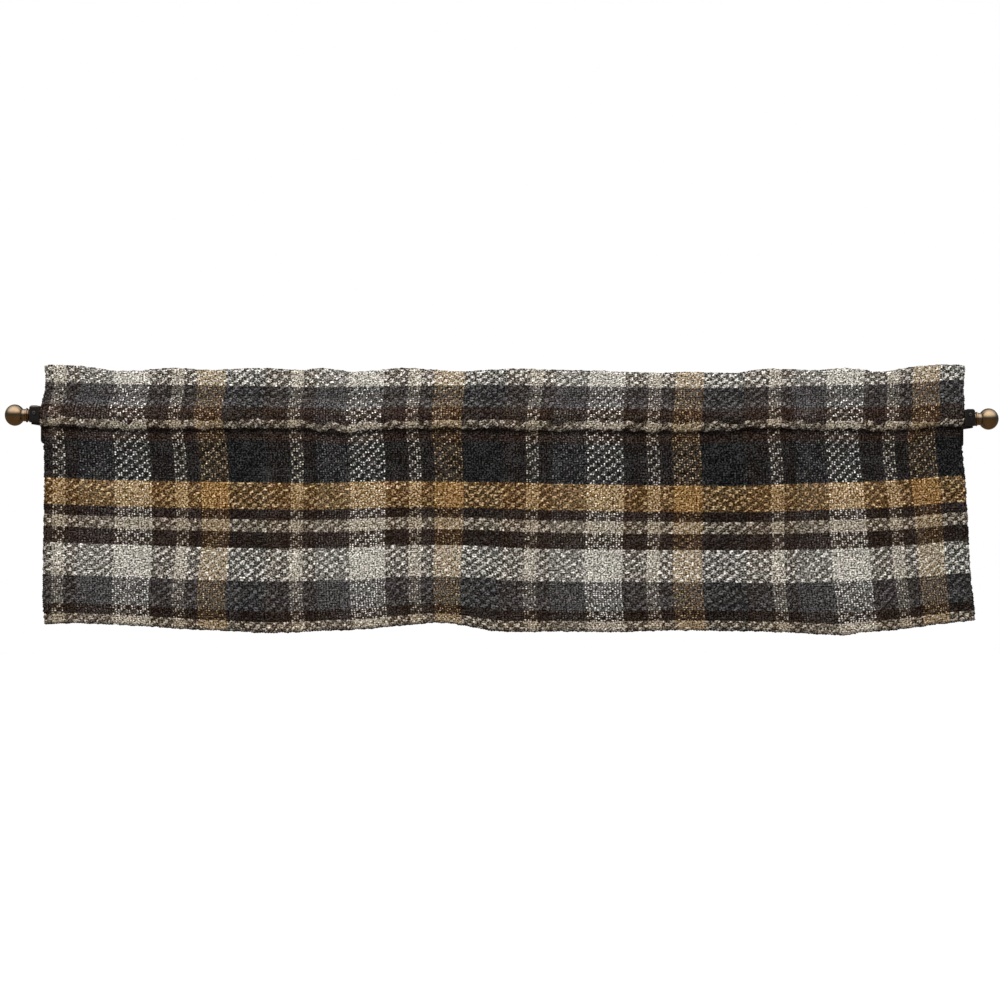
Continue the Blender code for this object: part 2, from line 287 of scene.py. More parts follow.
def noise(tree, x, y, detail=0.0, seed=0.0, outlet=0):
    """Smooth noise with one feature for each whole step of x and y."""
    return place(tree, "ShaderNodeTexNoise", outlet, {"noise_dimensions": "3D"},
                 Vector=vector(x, y, seed), Scale=1.0, Detail=detail, Roughness=0.5)


def chance(tree, x, y, seed, outlet=0):
    """A value of its own for each yarn crossing."""
    return place(tree, "ShaderNodeTexWhiteNoise", outlet, {"noise_dimensions": "3D"},
                 Vector=vector(x, y, seed))


crossing, at = new_group(
    "crossing_rule", {"Warp yarn": 0.0, "Weft yarn": 0.0, "Favour warp": 0.0}, {"Warp on top": "Float"})
turn = 2 * math.pi / REPEAT
twill = (at["Warp yarn"] + at["Weft yarn"]).math("MULTIPLY_ADD", turn, REPEAT_PHASE).math("COSINE")
basket = (at["Warp yarn"].math("MULTIPLY_ADD", turn, REPEAT_PHASE).math("COSINE")
          * at["Weft yarn"].math("MULTIPLY_ADD", turn, REPEAT_PHASE).math("COSINE"))
patch = (noise(crossing, at["Warp yarn"] * 0.07, at["Weft yarn"] * 0.07, 1.0, 3.0) - 0.5) * PATCH_SHARE
missed = (chance(crossing, at["Warp yarn"], at["Weft yarn"], 0.0) - 0.5) * (2 * CHANCE_SHARE)
balance = twill * (patch + TWILL_SHARE) * math.sqrt(2) + basket * (BASKET_SHARE - patch) * 2.0 + missed
put_out(crossing, Warp_on_top=(balance - at["Favour warp"]).math("LESS_THAN", -WEFT_LEAD))
print("crossing rule:", len(crossing.nodes), "nodes")

# %% [markdown]
# ## Yarn colours as ramps
#
# A colour ramp with constant steps holds a whole row of stripes. It is read at the middle of a yarn, so
# that a yarn never changes colour half way across.

# %% Stripe ramps
YARN_COLOURS = {
    IVORY: linear((206, 201, 191)),
    BEIGE: linear((186, 172, 152)),
    BROWN: linear((60, 46, 38)),
    BLACK: linear((38, 38, 38)),
    GREY: linear((90, 87, 86)),
    GOLD: linear((173, 137, 89)),
}


def stripe_ramp(tree, yarn, stripes):
    """The colour of a yarn, counted from the first stripe."""
    total = yarns_in(stripes)
    node = tree.nodes.new("ShaderNodeValToRGB")
    node.color_ramp.interpolation = "CONSTANT"
    steps = node.color_ramp.elements
    start = 0
    for number, (name, count) in enumerate(stripes):
        step = steps[number] if number < 2 else steps.new(start / total)
        step.position = start / total
        step.color = YARN_COLOURS[name]
        start += count
    feed(node.inputs["Fac"], yarn / float(total))
    return Wire(tree, node.outputs["Color"])


# %% [markdown]
# ## The woven cloth
#
# The cloth's own map holds metres of flat cloth, so dividing by the yarn spacing gives each point its yarn
# numbers. A little noise bends the yarns first. Each crossing then shows a short bead of warp or a longer
# float of weft, with painted light on its middle and painted shade towards its edges, and the other yarn
# in painted shade deep in the gaps between.

# %% The plaid weave group
SEAM_YARN = 29.0              # the weft yarn that lies over the pocket's lower stitching
SEAM_PULL_REACH = 5.0
IVORY_SHOWS = (55.0, 70.0)    # above these weft yarns the ivory warp shows less, and below them more
IVORY_FAVOUR = 0.55
BLACK_FAVOUR = -0.15          # the black warp shows less everywhere
IVORY_ABOVE = 0.42            # a warp yarn brighter than this counts as ivory
BLACK_BELOW = 0.025           # and one darker than this as black

weave, at = new_group(
    "plaid_weave",
    {"Wobble": 0.4, "Warp shade in gaps": 0.20, "Weft shade in gaps": 0.24, "Fuzz": 1.5, "Slub": 0.5, "Tint": 0.5,
     "Seam pull": 8.5, "Crease shade": 0.04, "Mingle": 0.8},
    {"Colour": "Color", "Height": "Float"},
)
cloth_map = place(weave, "ShaderNodeUVMap", settings={"uv_map": "cloth"})
flat_x = place(weave, "ShaderNodeSeparateXYZ", "X", Vector=cloth_map)
flat_y = place(weave, "ShaderNodeSeparateXYZ", "Y", Vector=cloth_map)
straight_warp, straight_weft = flat_x / WARP_PITCH, flat_y / WEFT_PITCH

wobble = [(noise(weave, straight_warp * 0.9, straight_weft * 0.73, 1.0, seed) - 0.5) * at["Wobble"] * 2.0
          for seed in (11.3, 23.7)]
from_seam = (straight_weft - SEAM_YARN) / SEAM_PULL_REACH
at_seam = (from_seam * from_seam * -1.0).math("EXPONENT")
at_seam_edge = (from_seam * from_seam * -2.4).math("EXPONENT")
seam_wave = noise(weave, straight_warp * 0.16, straight_weft * 0.05, 2.0, 29.0) - 0.5
pulled = seam_wave * at_seam * at["Seam pull"]
across, down = straight_warp + wobble[0], straight_weft + wobble[1] + pulled
warp_yarn, weft_yarn = across.math("FLOOR"), down.math("FLOOR")
in_warp, in_weft = across - warp_yarn, down - weft_yarn

warp_colour = stripe_ramp(
    weave, ((warp_yarn + 0.5 + WARP_START) / warp_repeat).math("FRACT") * warp_repeat, WARP_STRIPES)
weft_colour = stripe_ramp(weave, weft_yarn + 0.5 + float(behind_yarns), WEFT_BEHIND + WEFT_FRONT + WEFT_HEM)

paleness = place(weave, "ShaderNodeRGBToBW", Color=warp_colour)
is_ivory = ((paleness - IVORY_ABOVE) * 10.0).clamped()
way_down = ((weft_yarn - IVORY_SHOWS[0]) / (IVORY_SHOWS[1] - IVORY_SHOWS[0])).clamped()
is_black = ((BLACK_BELOW - paleness) * 300.0).clamped()
favour = is_ivory * (way_down * 2.0 - 1.0) * IVORY_FAVOUR + is_black * BLACK_FAVOUR
here, before, after = (
    use_group(weave, crossing, Warp_yarn=warp_yarn + step, Weft_yarn=weft_yarn,
              Favour_warp=favour)["Warp on top"]
    for step in (0.0, -1.0, 1.0))

# %% Beads of warp and floats of weft
BEAD_HALF = (0.33, 0.37)      # of a warp bead, in warp and weft yarns
FLOAT_HALF = (0.46, 0.52)     # of a weft float's rounded end, and of its width
EDGE_SHARPNESS = 3.0
EDGE_REACH = 1.17             # how far from its middle a bead or float still covers
CROWN_PAINTED_LIGHT, CROWN_PAINTED_SHADE = 1.05, 0.35    # painted light on its middle, and painted shade falling towards its edge


def distance_from(x, y):
    return (x * x + y * y).math("SQRT")


off_warp, off_weft = in_warp - 0.5, in_weft - 0.5
bead = distance_from(off_warp / BEAD_HALF[0], off_weft / BEAD_HALF[1])
near_end = (off_warp.math("MAXIMUM", 0.0) * after) + ((off_warp * -1.0).math("MAXIMUM", 0.0) * before)
floated = distance_from(near_end / FLOAT_HALF[0], off_weft / FLOAT_HALF[1])
reach = here * bead + (1.0 - here) * floated
cover = ((EDGE_REACH - reach) * EDGE_SHARPNESS).clamped()
# painted shading of each bead and float, lighter in the middle and darker at the edges; it also shapes the
# bump height
crown = CROWN_PAINTED_LIGHT - reach * reach * CROWN_PAINTED_SHADE

# %% [markdown]
# ## Fibre and dye
#
# Hand-spun yarn is never even. Its twist shows as short slanting strands, each crossing catches the light
# in its own way, and slow changes along a yarn make it thick and thin. The dye varies as well, most of all
# in the golden yarn, which is flecked with olive, orange and plum, so the change of hue follows the yarn's
# saturation.

# %% Strands, specks and tint
PALE_FLECK = linear((200, 178, 134))
PLUM_FLECK = linear((84, 52, 42))
SOFT_BEADS = 0.3              # golden and beige warp yarns are fluffier, so their beads are less crisp
WARP_IN_BLEND = (0.22, 0.18)  # the warp's share of a crossing's hue: always, and more where it is on top
BLEND_STRENGTH = 0.75         # of that hue in the dark, more in the light
GLOW = 0.8                    # painted bounce light: pale yarns light up the gaps between them
FLOAT_SHADE = 0.82            # painted shade: the weft's long floats lie a little deeper than the warp's beads
LINT_AND_SHEEN = 0.023                  # loose pale fibre, which shows on the dark yarns, with painted sheen in place of the cloth's weak reflection

slow_warp = noise(weave, warp_yarn * 5.1, straight_weft * 0.45, 0.0, 31.0)
slow_weft = noise(weave, straight_warp * 0.5, weft_yarn * 7.3, 0.0, 37.0)
speck = chance(weave, warp_yarn, weft_yarn, 5.0)
slub = 1.0 + (slow_warp * here + slow_weft * (1.0 - here) + speck * 0.8 - 0.9) * at["Slub"]
strand = noise(weave, straight_warp * 0.84 + straight_weft * 0.67,
               straight_warp * 0.31 - straight_weft * 0.245, 1.0, 41.0) - 0.5
grain = noise(weave, straight_warp * 1.6, straight_weft * 1.35, 0.0, 47.0) - 0.5
mottle = noise(weave, straight_warp * 0.16, straight_weft * 0.16, 2.0, 67.0) - 0.5
fuzz = (1.0 + (strand * (2.1 - here * 1.2) + grain * 3.2) * at["Fuzz"] + mottle * 0.35).math("MAXIMUM", 0.12)

top = mix(here, weft_colour, warp_colour)
# painted shade on the yarn deep in the gaps, with painted bounce light from a pale yarn on top
gap_shade = at["Warp shade in gaps"] + here * (at["Weft shade in gaps"] - at["Warp shade in gaps"])
hidden = mix(here, warp_colour, weft_colour)
under = colour_math("MULTIPLY", hidden, colour_math("MULTIPLY_ADD", top, GLOW, gap_shade))
red = place(weave, "ShaderNodeSeparateXYZ", "X", Vector=top)
blue = place(weave, "ShaderNodeSeparateXYZ", "Z", Vector=top)
golden = ((red - blue - 0.16) * 7.0).clamped()
fleck = noise(weave, straight_warp * 0.9, straight_weft * 0.9, 1.0, 61.0) - 0.5
pale, plum = (fleck * 6.0 * golden).clamped(), (fleck * -5.0 * golden).clamped()
flecked = mix(plum, mix(pale, top, PALE_FLECK), PLUM_FLECK)
softness = ((red - blue - 0.12) * 4.0).clamped() * here
soft_cover = cover * (1.0 - softness * SOFT_BEADS)
# painted light and shade of the crown, and painted shade of the deeper floats, on the top yarn's colour
facing = shaded(flecked, crown * slub * (here * (1.0 - FLOAT_SHADE) + FLOAT_SHADE))
lit = shaded(mix(soft_cover, under, facing), fuzz)

# %% Hues as the eye mixes them
def as_seen(colour, gamma=1 / 2.2):
    """A colour on the even scale of the eye, or back with a gamma of 2.2."""
    return place(weave, "ShaderNodeGamma", Color=colour, Gamma=gamma)


def brightness(colour):
    return place(weave, "ShaderNodeRGBToBW", Color=colour)


seen_lit = as_seen(lit)
together = mix(here * WARP_IN_BLEND[1] + WARP_IN_BLEND[0], as_seen(weft_colour), as_seen(warp_colour))
depth = brightness(seen_lit) * 0.35 + BLEND_STRENGTH
blend_hue = colour_math("MULTIPLY", colour_math("SUBTRACT", together, brightness(together)), depth)
mingled = colour_math("ADD", blend_hue, brightness(seen_lit))
blended = as_seen(colour_math("MAXIMUM", mix(at["Mingle"], seen_lit, mingled), 0.0), 2.2)
shade = 1.0 - at_seam_edge * at["Crease shade"]
# pale fibre and painted sheen, added to the colour
lint_and_sheen = (grain * 6.0 + mottle * 5.0 - 0.2).clamped() * LINT_AND_SHEEN
dark = (1.0 - brightness(together) * 1.5).clamped()
dye = at["Tint"] * (0.12 + golden * 0.18 + dark * 0.6)
hue = noise(weave, straight_warp * 0.11, straight_weft * 0.14, 3.0, 53.0, outlet=1)
tinted = colour_math("MULTIPLY_ADD", hue, dye, 1.0 - dye * 0.5)
coloured = colour_math("MULTIPLY_ADD", blended, colour_math("MAXIMUM", tinted, 0.1), lint_and_sheen)
coloured = shaded(coloured, shade)
relief = cover * crown * 0.8 + strand * 0.6
put_out(weave, Colour=coloured, Height=relief)
print("plaid weave:", len(weave.nodes), "nodes")

# %% The cloth's material
def new_material(name, roughness, metallic=0.0, **constants):
    """A material with its Principled BSDF. Constants are set on the shader's own sockets."""
    material = bpy.data.materials.new(name)
    material.use_nodes = True
    shader = material.node_tree.nodes["Principled BSDF"]
    shader.inputs["Roughness"].default_value = roughness
    shader.inputs["Metallic"].default_value = metallic
    for label, value in constants.items():
        shader.inputs[label.replace("_", " ")].default_value = value
    return material, material.node_tree, shader


def bump(height, distance, strength):
    return place(height.tree, "ShaderNodeBump", Height=height, Distance=distance, Strength=strength)


cloth_material, tree, shader = new_material("plaid_cloth", roughness=0.95, Specular_IOR_Level=0.08)
woven = use_group(tree, weave)
feed(shader.inputs["Base Color"], woven["Colour"])
feed(shader.inputs["Normal"], bump(woven["Height"], distance=0.0006, strength=0.7))

# %% [markdown]
# ## How the cloth hangs
#
# The cloth is one long strip, and its cross-section is the same walk everywhere: up behind the rod, over
# the top fold, down the heading, over the rod, in to the lower stitching, down the front and round the hem.
# What changes from side to side is where the edges lie and how far each fold stands out, so those are short
# tables, and smooth curves are read between their rows. The engineered solid is drawn from tables of the
# same kind.

# %% Tables of the hung cloth, in millimetres
TOP_EDGE = (                  # the top fold
    # x, height
    (-708, 79.5), (-700, 81), (-653, 79), (-591, 71.5), (-506, 76), (-459, 73), (-371, 76), (-312, 73),
    (-278, 76), (-226, 70), (-149, 76), (-64, 71), (14, 74.5), (92, 73), (154, 71.5), (247, 68.5),
    (293, 70), (363, 68.5), (409, 74.5), (487, 73), (541, 75.5), (588, 70), (627, 76), (658, 80),
    (706, 81.5), (717, 80),
)
HEM_EDGE = (                  # the bottom fold
    # x, height
    (-706, -321), (-653, -319), (-560, -324), (-467, -329), (-371, -334), (-312, -333), (-226, -329),
    (-141, -322), (-95, -319), (-64, -322), (-2, -331.5), (123, -332), (185, -333), (278, -330),
    (340, -331.5), (433, -333), (526, -338), (560, -333), (619, -328.5), (681, -321), (735, -315),
)
POCKET_EDGE = (               # the pocket's lower stitching
    # x, height
    (-692, -15), (-613, -20), (-552, -21.5), (-444, -20), (-315, -20), (-236, -28), (-180, -20.5),
    (0, -21.5), (215, -24.5), (300, -24.5), (350, -22), (402, -19), (507, -21), (634, -22), (673, -14),
    (712, -13),
)
SIDES = (                     # the two cut edges, by height
    # height, left x, right x
    (82, -707, 718), (45, -706, 715), (27, -710, 716), (11, -713.5, 716), (-5, -713.5, 716),
    (-23, -710.5, 711.5), (-60, -707.5, 715.5), (-116, -707, 719.5), (-190, -709, 724),
    (-246, -710, 727.5), (-284, -710, 732), (-335, -706, 737),
)
FOLDS = (                     # crests and valleys of the front panel, at the hem
    # x, depth forward
    (-712, -2), (-640, 7), (-560, -6), (-478, 8), (-415, -5), (-350, 9), (-282, -6), (-212, 7),
    (-110, -9), (-4, 10), (66, -4), (140, 6), (215, -6), (292, 8), (362, -7), (430, 6), (478, -6),
    (532, 2), (583, 10), (640, -2), (690, -7), (735, -4),
)
STRIPE_LEVELS = (             # where three weft stripes begin, because cloth is never hung quite true
    # x, grey in the heading, gold, the lower grey
    (-707, 54.5, -93.5, -243.5), (-617, 52, -97.5, -246.5), (-385, 48, -101.5, -254.5),
    (-281, 46, -102.5, -254), (-219, 47, -100.5, -252.5), (-159, 48, -99.5, -248), (-25, 50, -101, -249),
    (14, 49.5, -101.5, -253), (84, 48, -103.5, -255), (351, 45, -107, -256.5), (464, 48, -103.5, -257),
    (620, 52, -98, -249.5), (695, 57.5, -91.5, -243), (737, 57.5, -90.5, -242.5),
)

DRIFT = (                     # how far the warp strays to the right of its even spacing
    # x, in the heading, the black stripe, the brown stripe and the hem
    (-707, 0, 0, 0, 0), (-606, 1.5, 3, 3, 0), (-498, -1.5, 3, 8, 0), (-389, -3, 3, 2, -5),
    (-335, 2, 3, 0, -2), (-226, -1.5, 1.5, -1.5, -1.5), (-118, -1.5, -1, -3, -6), (-9, 5, 0, -4, -13),
    (99, 6, 0.5, -6, -11), (208, 5, 3, -2, -8), (316, 6, 2, -1.5, -6), (371, 9, 9, 6, 2),
    (425, 9, 11, 8, 5), (479, 6, 9, 5, 5), (534, 8, 1.5, 6, 9), (642, 7, 0, 6, 7), (737, 0, 0, 0, 0),
)
DRIFT_HEIGHTS = (31, -67, -186, -276)


def read_table(table, column, at):
    """A smooth curve through a table's rows, read at an array of places in metres."""
    rows = np.array(sorted(table), float) * MM
    x, y = rows[:, 0], rows[:, column]
    last = len(x) - 1
    ahead, back = np.minimum(np.arange(last + 1) + 1, last), np.maximum(np.arange(last + 1) - 1, 0)
    slope = (y[ahead] - y[back]) / (x[ahead] - x[back])
    at = np.clip(at, x[0], x[-1])
    k = np.clip(np.searchsorted(x, at, "right") - 1, 0, last - 1)
    span = x[k + 1] - x[k]
    t = (at - x[k]) / span
    return ((2 * t**3 - 3 * t**2 + 1) * y[k] + (t**3 - 2 * t**2 + t) * slope[k] * span
            + (3 * t**2 - 2 * t**3) * y[k + 1] + (t**3 - t**2) * slope[k + 1] * span)


def stray(x, height):
    """How far the warp strays to the right at a place."""
    downs = [-level * MM for level in DRIFT_HEIGHTS]
    shares = np.eye(len(downs))
    return sum(np.interp(-height, downs, share) * read_table(DRIFT, column + 1, x)
               for column, share in enumerate(shares))


def side_place(across, height):
    """x of the cloth's points: across runs from 0 at its left edge to 1 at its right edge."""
    left, right = read_table(SIDES, 1, height), read_table(SIDES, 2, height)
    x = left + (right - left) * across
    return x + stray(x, height)


# %% [markdown]
# ## The cross-section
#
# Every column of the cloth is one walk along the cross-section, given as depths forward of the rod's axis
# and heights. All columns are worked out at once: each number below is an array with a value for each
# column. The pocket puffs out under the rod before its stitching pulls it in, which is what makes the soft
# roll with a shadow under it.

# %% Sizes of the cross-section
TOP_LEVEL, HEM_LEVEL = 81 * MM, -321 * MM    # heights at which the sides give each fold its width
CLOTH_THICKNESS = 0.0018      # with its relief
CORE_THICKNESS = 0.0012       # of the mesh itself, under the relief of the yarns
HEADING = 0.0485              # from the top fold down to its stitching
LAYER_OFFSET = 0.00125        # of a layer's middle from the middle of the two
FOLD_RADIUS = 0.0018          # of the top and bottom folds
HEM_DEPTH = 0.025             # how far the hem is turned up
HEM_SEAM = 0.003              # of the hem's stitching below its cut edge
SEAM_TAIL = 0.012             # of cloth behind, below the pocket
POCKET_SLACK = 0.002          # least room under the rod's wrapping, above the pocket's stitching
FOLD_SPREAD = 0.9             # below 1, the folds open faster near the pocket
FOLD_AT_POCKET = 0.22         # share of a fold's depth at the hem
FOLD_AT_HEADING = 0.16
FOLD_AT_TOP = 0.42
HEADING_LEAN = -0.0014        # the top fold leans back
PUCKER = 0.10                 # share of a fold's depth that lifts the cloth off the rod
PUFF = 0.0060                 # how far the pocket stands out just above its lower stitching
PUFF_DROP = 0.0032            # how far it hangs over the stitching
SEAM_RISE = 0.0015            # of the stitching above the pocket's lower edge as it is seen
ROLL_EDGE = 0.70              # where the roll turns under, as a share of the way down it
SEAM_PINCH = 0.0006           # how far stitching draws each layer in
SEAM_REACH = 0.004            # how far up and down it is felt
PUCKER_BELOW = 0.0012         # depth of the puckers under the pocket
PUCKER_FADE = 9               # how soon they fade on the way down
PUCKER_ABOVE = 0.0009         # and their depth above the heading's stitching
EASE_OVER_ROD = 0.0004        # slack of the cloth over the rod
ROLL_ANGLE = -0.12            # radians from straight forward, where the cloth leaves the rod for the roll
ROLL_OUT, ROLL_DOWN = 0.0004, 0.007    # the way it sets off
ROLL_UNEVEN = 0.35            # how much the puckers swell the roll


def arc(centre_depth, centre_height, radius, start, end, count):
    """Points on an arc, as a list of (depth, height). Angles are from straight forward, upwards."""
    share = np.linspace(0.0, 1.0, count)[:, None]
    angle = start + (end - start) * share
    return centre_depth + radius * np.cos(angle), centre_height + radius * np.sin(angle)


def line(depth_of, start, end, count):
    """Points between two heights, at the depths that a function gives."""
    share = np.linspace(0.0, 1.0, count + 2)[1:-1, None]
    height = start + (end - start) * share
    return depth_of(height), height


def curl(points, count):
    """A Bezier curve's inner points, from its four (depth, height) points."""
    t = np.linspace(0.0, 1.0, count + 2)[1:-1, None]
    weights = ((1 - t) ** 3, 3 * (1 - t) ** 2 * t, 3 * (1 - t) * t**2, t**3)
    return tuple(sum(w * point[axis] for w, point in zip(weights, points)) for axis in (0, 1))


def gathers(x):
    """Small uneven puckers along the stitching, from -1 to 1 or so."""
    waves = ((0.083, 0.9, 0.34), (0.047, 2.1, 0.30), (0.029, 4.4, 0.22), (0.0171, 0.3, 0.14))
    return sum(size * np.sin(2 * math.pi * x / length + phase) for length, phase, size in waves)


# %% The walk along the cross-section
def cloth_walk(across):
    """Depths and heights of the cloth's middle, each an array of walk points by columns.

    Also returns the walk's index at the top fold, where the roll turns under and at the hem fold.
    """
    half = CLOTH_THICKNESS / 2
    x_top, x_rod, x_hem = (side_place(across, level) for level in (TOP_LEVEL, 0.0, HEM_LEVEL))
    top = read_table(TOP_EDGE, 1, x_top) - half
    hem = read_table(HEM_EDGE, 1, x_hem) + half
    axis = rod_height(x_rod)
    wrap = ROD_RADIUS + SEAT_GAP + half
    pocket = np.minimum(read_table(POCKET_EDGE, 1, x_rod), axis - wrap - POCKET_SLACK)
    heading = top - HEADING
    fold = read_table(FOLDS, 1, x_hem)
    pucker = gathers(x_rod)
    at_pocket, at_heading = fold * FOLD_AT_POCKET, fold * FOLD_AT_HEADING
    at_top = fold * FOLD_AT_TOP + HEADING_LEAN

    def pinch(height, seam):
        return SEAM_PINCH * np.exp(-((height - seam) / SEAM_REACH) ** 2)

    def panel(side):
        """The folds open steadily from the pocket to the hem."""
        def depth(height):
            share = np.clip((pocket - height) / (pocket - hem), 0.0, 1.0)
            gathered = pucker * PUCKER_BELOW * np.exp(-share * PUCKER_FADE)
            middle = at_pocket + (fold - at_pocket) * share**FOLD_SPREAD + gathered
            return middle + side * (LAYER_OFFSET - pinch(height, hem + HEM_DEPTH - HEM_SEAM))
        return depth

    def head(side):
        def depth(height):
            share = (height - heading) / (top - heading)
            middle = at_heading + (at_top - at_heading) * share + pucker * PUCKER_ABOVE * (1 - share)
            return middle + side * (LAYER_OFFSET - pinch(height, heading))
        return depth

    low_angle = np.arccos(wrap / (axis - pocket))
    high_angle = np.arccos(wrap / (heading - axis))
    arc_end = math.pi / 2 - high_angle
    behind_lift = np.maximum(0.0, -fold * PUCKER)
    front_lift = np.maximum(0.0, fold * PUCKER) + EASE_OVER_ROD * (1 + pucker)
    tail = pocket - SEAM_TAIL
    hem_end = hem + HEM_DEPTH
    fold_top, fold_hem = top - FOLD_RADIUS, hem + FOLD_RADIUS

    def behind_rod():
        depth, height = arc(0.0, axis, wrap + behind_lift, low_angle - math.pi / 2, arc_end, 9)
        return -depth, height

    depth, height = arc(0.0, axis, wrap + front_lift, arc_end, ROLL_ANGLE, 12)
    seam = pocket + SEAM_RISE
    seam_depth = panel(1)(seam)
    roll = 1 + ROLL_UNEVEN * pucker
    roll_points = (
        (depth[-1], height[-1]),
        (depth[-1] + ROLL_OUT, height[-1] - ROLL_DOWN),
        (seam_depth + PUFF * roll, pocket - PUFF_DROP * roll),
        (seam_depth, seam),
    )
    pieces = [
        line(panel(-1), tail, pocket, 3),
        behind_rod(),
        line(head(-1), heading, fold_top, 12),
        arc(at_top, fold_top, FOLD_RADIUS, math.pi, 0.0, 9),
        line(head(1), fold_top, heading, 16),
        (depth, height),
        curl(roll_points, 12),
        (seam_depth[None], seam[None]),
        line(panel(1), seam, fold_hem, 60),
        arc(fold, fold_hem, FOLD_RADIUS, 0.0, -math.pi, 9),
        line(panel(-1), fold_hem, hem_end, 6),
    ]
    full = [np.broadcast_arrays(*(np.asarray(part) + 0.0 * across for part in piece)) for piece in pieces]
    depths, heights = (np.concatenate([piece[k] for piece in full]) for k in (0, 1))
    counts = [len(piece[0]) for piece in full]
    top_index = sum(counts[:3]) + counts[3] // 2
    hem_index = sum(counts[:9]) + counts[9] // 2
    roll_index = sum(counts[:6]) + int(counts[6] * ROLL_EDGE)
    return depths, heights, top_index, roll_index, hem_index


# %% [markdown]
# ## Laying the yarns on the walk
#
# The mesh has one vertex where a warp yarn and a weft yarn cross, all over the front. Behind, where little
# shows, it has only a few rows. Those behind the rod are so far apart that their straight edges cut up to
# 1.2 mm into the rod, inside the pocket. A few weft stripes are known by their height, so the walk is
# stretched a little between them, and every stripe lands where the real cloth has it.

# %% Rows and columns of the cloth
BACK_EDGE_YARN = -34.8        # the cut edge behind the pocket
HEM_END_YARN = front_yarns + 7.7
back_rows = [BACK_EDGE_YARN, -31.0, -27.5, -24.0, -20.5, -16.5, -13.5, -6.5, -0.7]
front_rows = [0.0, *(yarn + 0.5 for yarn in range(front_yarns)), float(front_yarns)]
hem_rows = [front_yarns + 0.7, front_yarns + 4.0, HEM_END_YARN]
rows = np.array(back_rows + front_rows + hem_rows)
columns = np.array([0.0, *(yarn + 0.5 for yarn in range(WARP_YARNS)), float(WARP_YARNS)])
across = columns / WARP_YARNS
depths, heights, top_index, roll_index, hem_index = cloth_walk(across)
steps = np.hypot(np.diff(depths, axis=0), np.diff(heights, axis=0))
travelled = np.vstack([np.zeros(len(columns)), np.cumsum(steps, axis=0)])
print(f"the walk is {travelled[-1].min():.3f} to {travelled[-1].max():.3f} m long")

# %% From yarns to places
LEVELS_AT = -0.1              # the height at which a column looks up its stripes' levels

grey_yarn, beige_end, gold_yarn, lower_grey_yarn = (yarns_in(WEFT_FRONT[:number]) for number in (1, 4, 6, 11))
knots = [BACK_EDGE_YARN, 0.0, grey_yarn, beige_end, gold_yarn, lower_grey_yarn, front_yarns, HEM_END_YARN]
front = slice(top_index, hem_index + 1)
grid = np.zeros((len(rows), len(columns), 3))
for c, share in enumerate(across):
    fall, way = heights[front, c][::-1], travelled[front, c][::-1]
    order = np.maximum.accumulate(fall)
    levels = [read_table(STRIPE_LEVELS, k, side_place(share, LEVELS_AT)) for k in (1, 2, 3)]
    at_levels = [float(np.interp(level, order, way)) for level in levels]
    known = [travelled[top_index, c], at_levels[0], travelled[roll_index, c], *at_levels[1:]]
    ways = [0.0, *known, travelled[hem_index, c], travelled[-1, c]]
    here = np.interp(rows, knots, ways)
    depth = np.interp(here, travelled[:, c], depths[:, c])
    height = np.interp(here, travelled[:, c], heights[:, c])
    grid[:, c, 0] = side_place(share, height)
    grid[:, c, 1] = -ROD_REACH - depth
    grid[:, c, 2] = height
print("cloth grid:", grid.shape)

# %% [markdown]
# ## Swells
#
# Hung cloth is never flat between its folds. A few low swells lean the panel towards the light or away from
# it. Each is a smooth hill or hollow, with its own width and height, and both layers of the hem follow it.

# %% Swells of the front panel
SWELLS = (
    # x, height, reach across, reach up and down, depth forward
    (0, -117, 3000, 48, 4.4), (0, -296, 3000, 26, 2.0), (-68, -66, 36, 22, 4.0),
    (-140, -82, 30, 24, -4.0), (-10, -118, 26, 26, -3.0), (385, -194, 70, 28, -3.0),
    (-490, -286, 70, 34, 2.5), (-630, -178, 50, 30, -2.5), (-482, -150, 60, 25, 2.5),
    (557, -155, 60, 30, 2.5), (541, -68, 80, 22, -2.5), (-591, -78, 60, 22, -2.5),
    (-502, -68, 30, 18, -2.0), (285, -300, 40, 25, 2.0),
)
SWELLS_BELOW = (-0.022, -0.045)   # they begin below the pocket, over this range of heights


def swell(x, z):
    """How far the panel stands forward at a place, beyond its folds."""
    top, full = SWELLS_BELOW
    ease = np.clip((top - z) / (top - full), 0.0, 1.0)
    hills = 0.0
    for at_x, at_z, wide, high, forward in SWELLS:
        from_middle = ((x - at_x * MM) / (wide * MM)) ** 2 + ((z - at_z * MM) / (high * MM)) ** 2
        hills = hills + forward * MM * np.exp(-from_middle)
    return hills * ease * ease * (3 - 2 * ease)


grid[:, :, 1] -= swell(grid[:, :, 0], grid[:, :, 2])
print(f"depth of the cloth: {np.ptp(grid[:, :, 1]) / MM:.1f} mm")

# %% [markdown]
# ## Relief
#
# The floats stand up from the cloth, and hand-spun yarn is uneven, so each crossing is moved a little along
# the surface. A slower cockle makes the cloth look soft rather than pressed.

# %% Relief of the weave
RELIEF = 0.00022              # of the weave's floats
UNEVEN = 0.00020              # of each crossing by itself
COCKLE = 0.0006               # of the slow cockle
chance_of = np.random.default_rng(7)


def surface_normals(points):
    along, over = np.gradient(points, axis=0), np.gradient(points, axis=1)
    normal = np.cross(over, along)
    return normal / np.linalg.norm(normal, axis=2, keepdims=True)


warp_number, weft_number = np.floor(columns)[None, :], np.floor(rows)[:, None]
twill_wave = math.sqrt(2) * np.cos(turn * (warp_number + weft_number) + REPEAT_PHASE)
basket_wave = 2 * np.cos(turn * warp_number + REPEAT_PHASE) * np.cos(turn * weft_number + REPEAT_PHASE)
lift = -RELIEF * (TWILL_SHARE * twill_wave + BASKET_SHARE * basket_wave)
lift = lift + UNEVEN * chance_of.uniform(-1, 1, lift.shape)


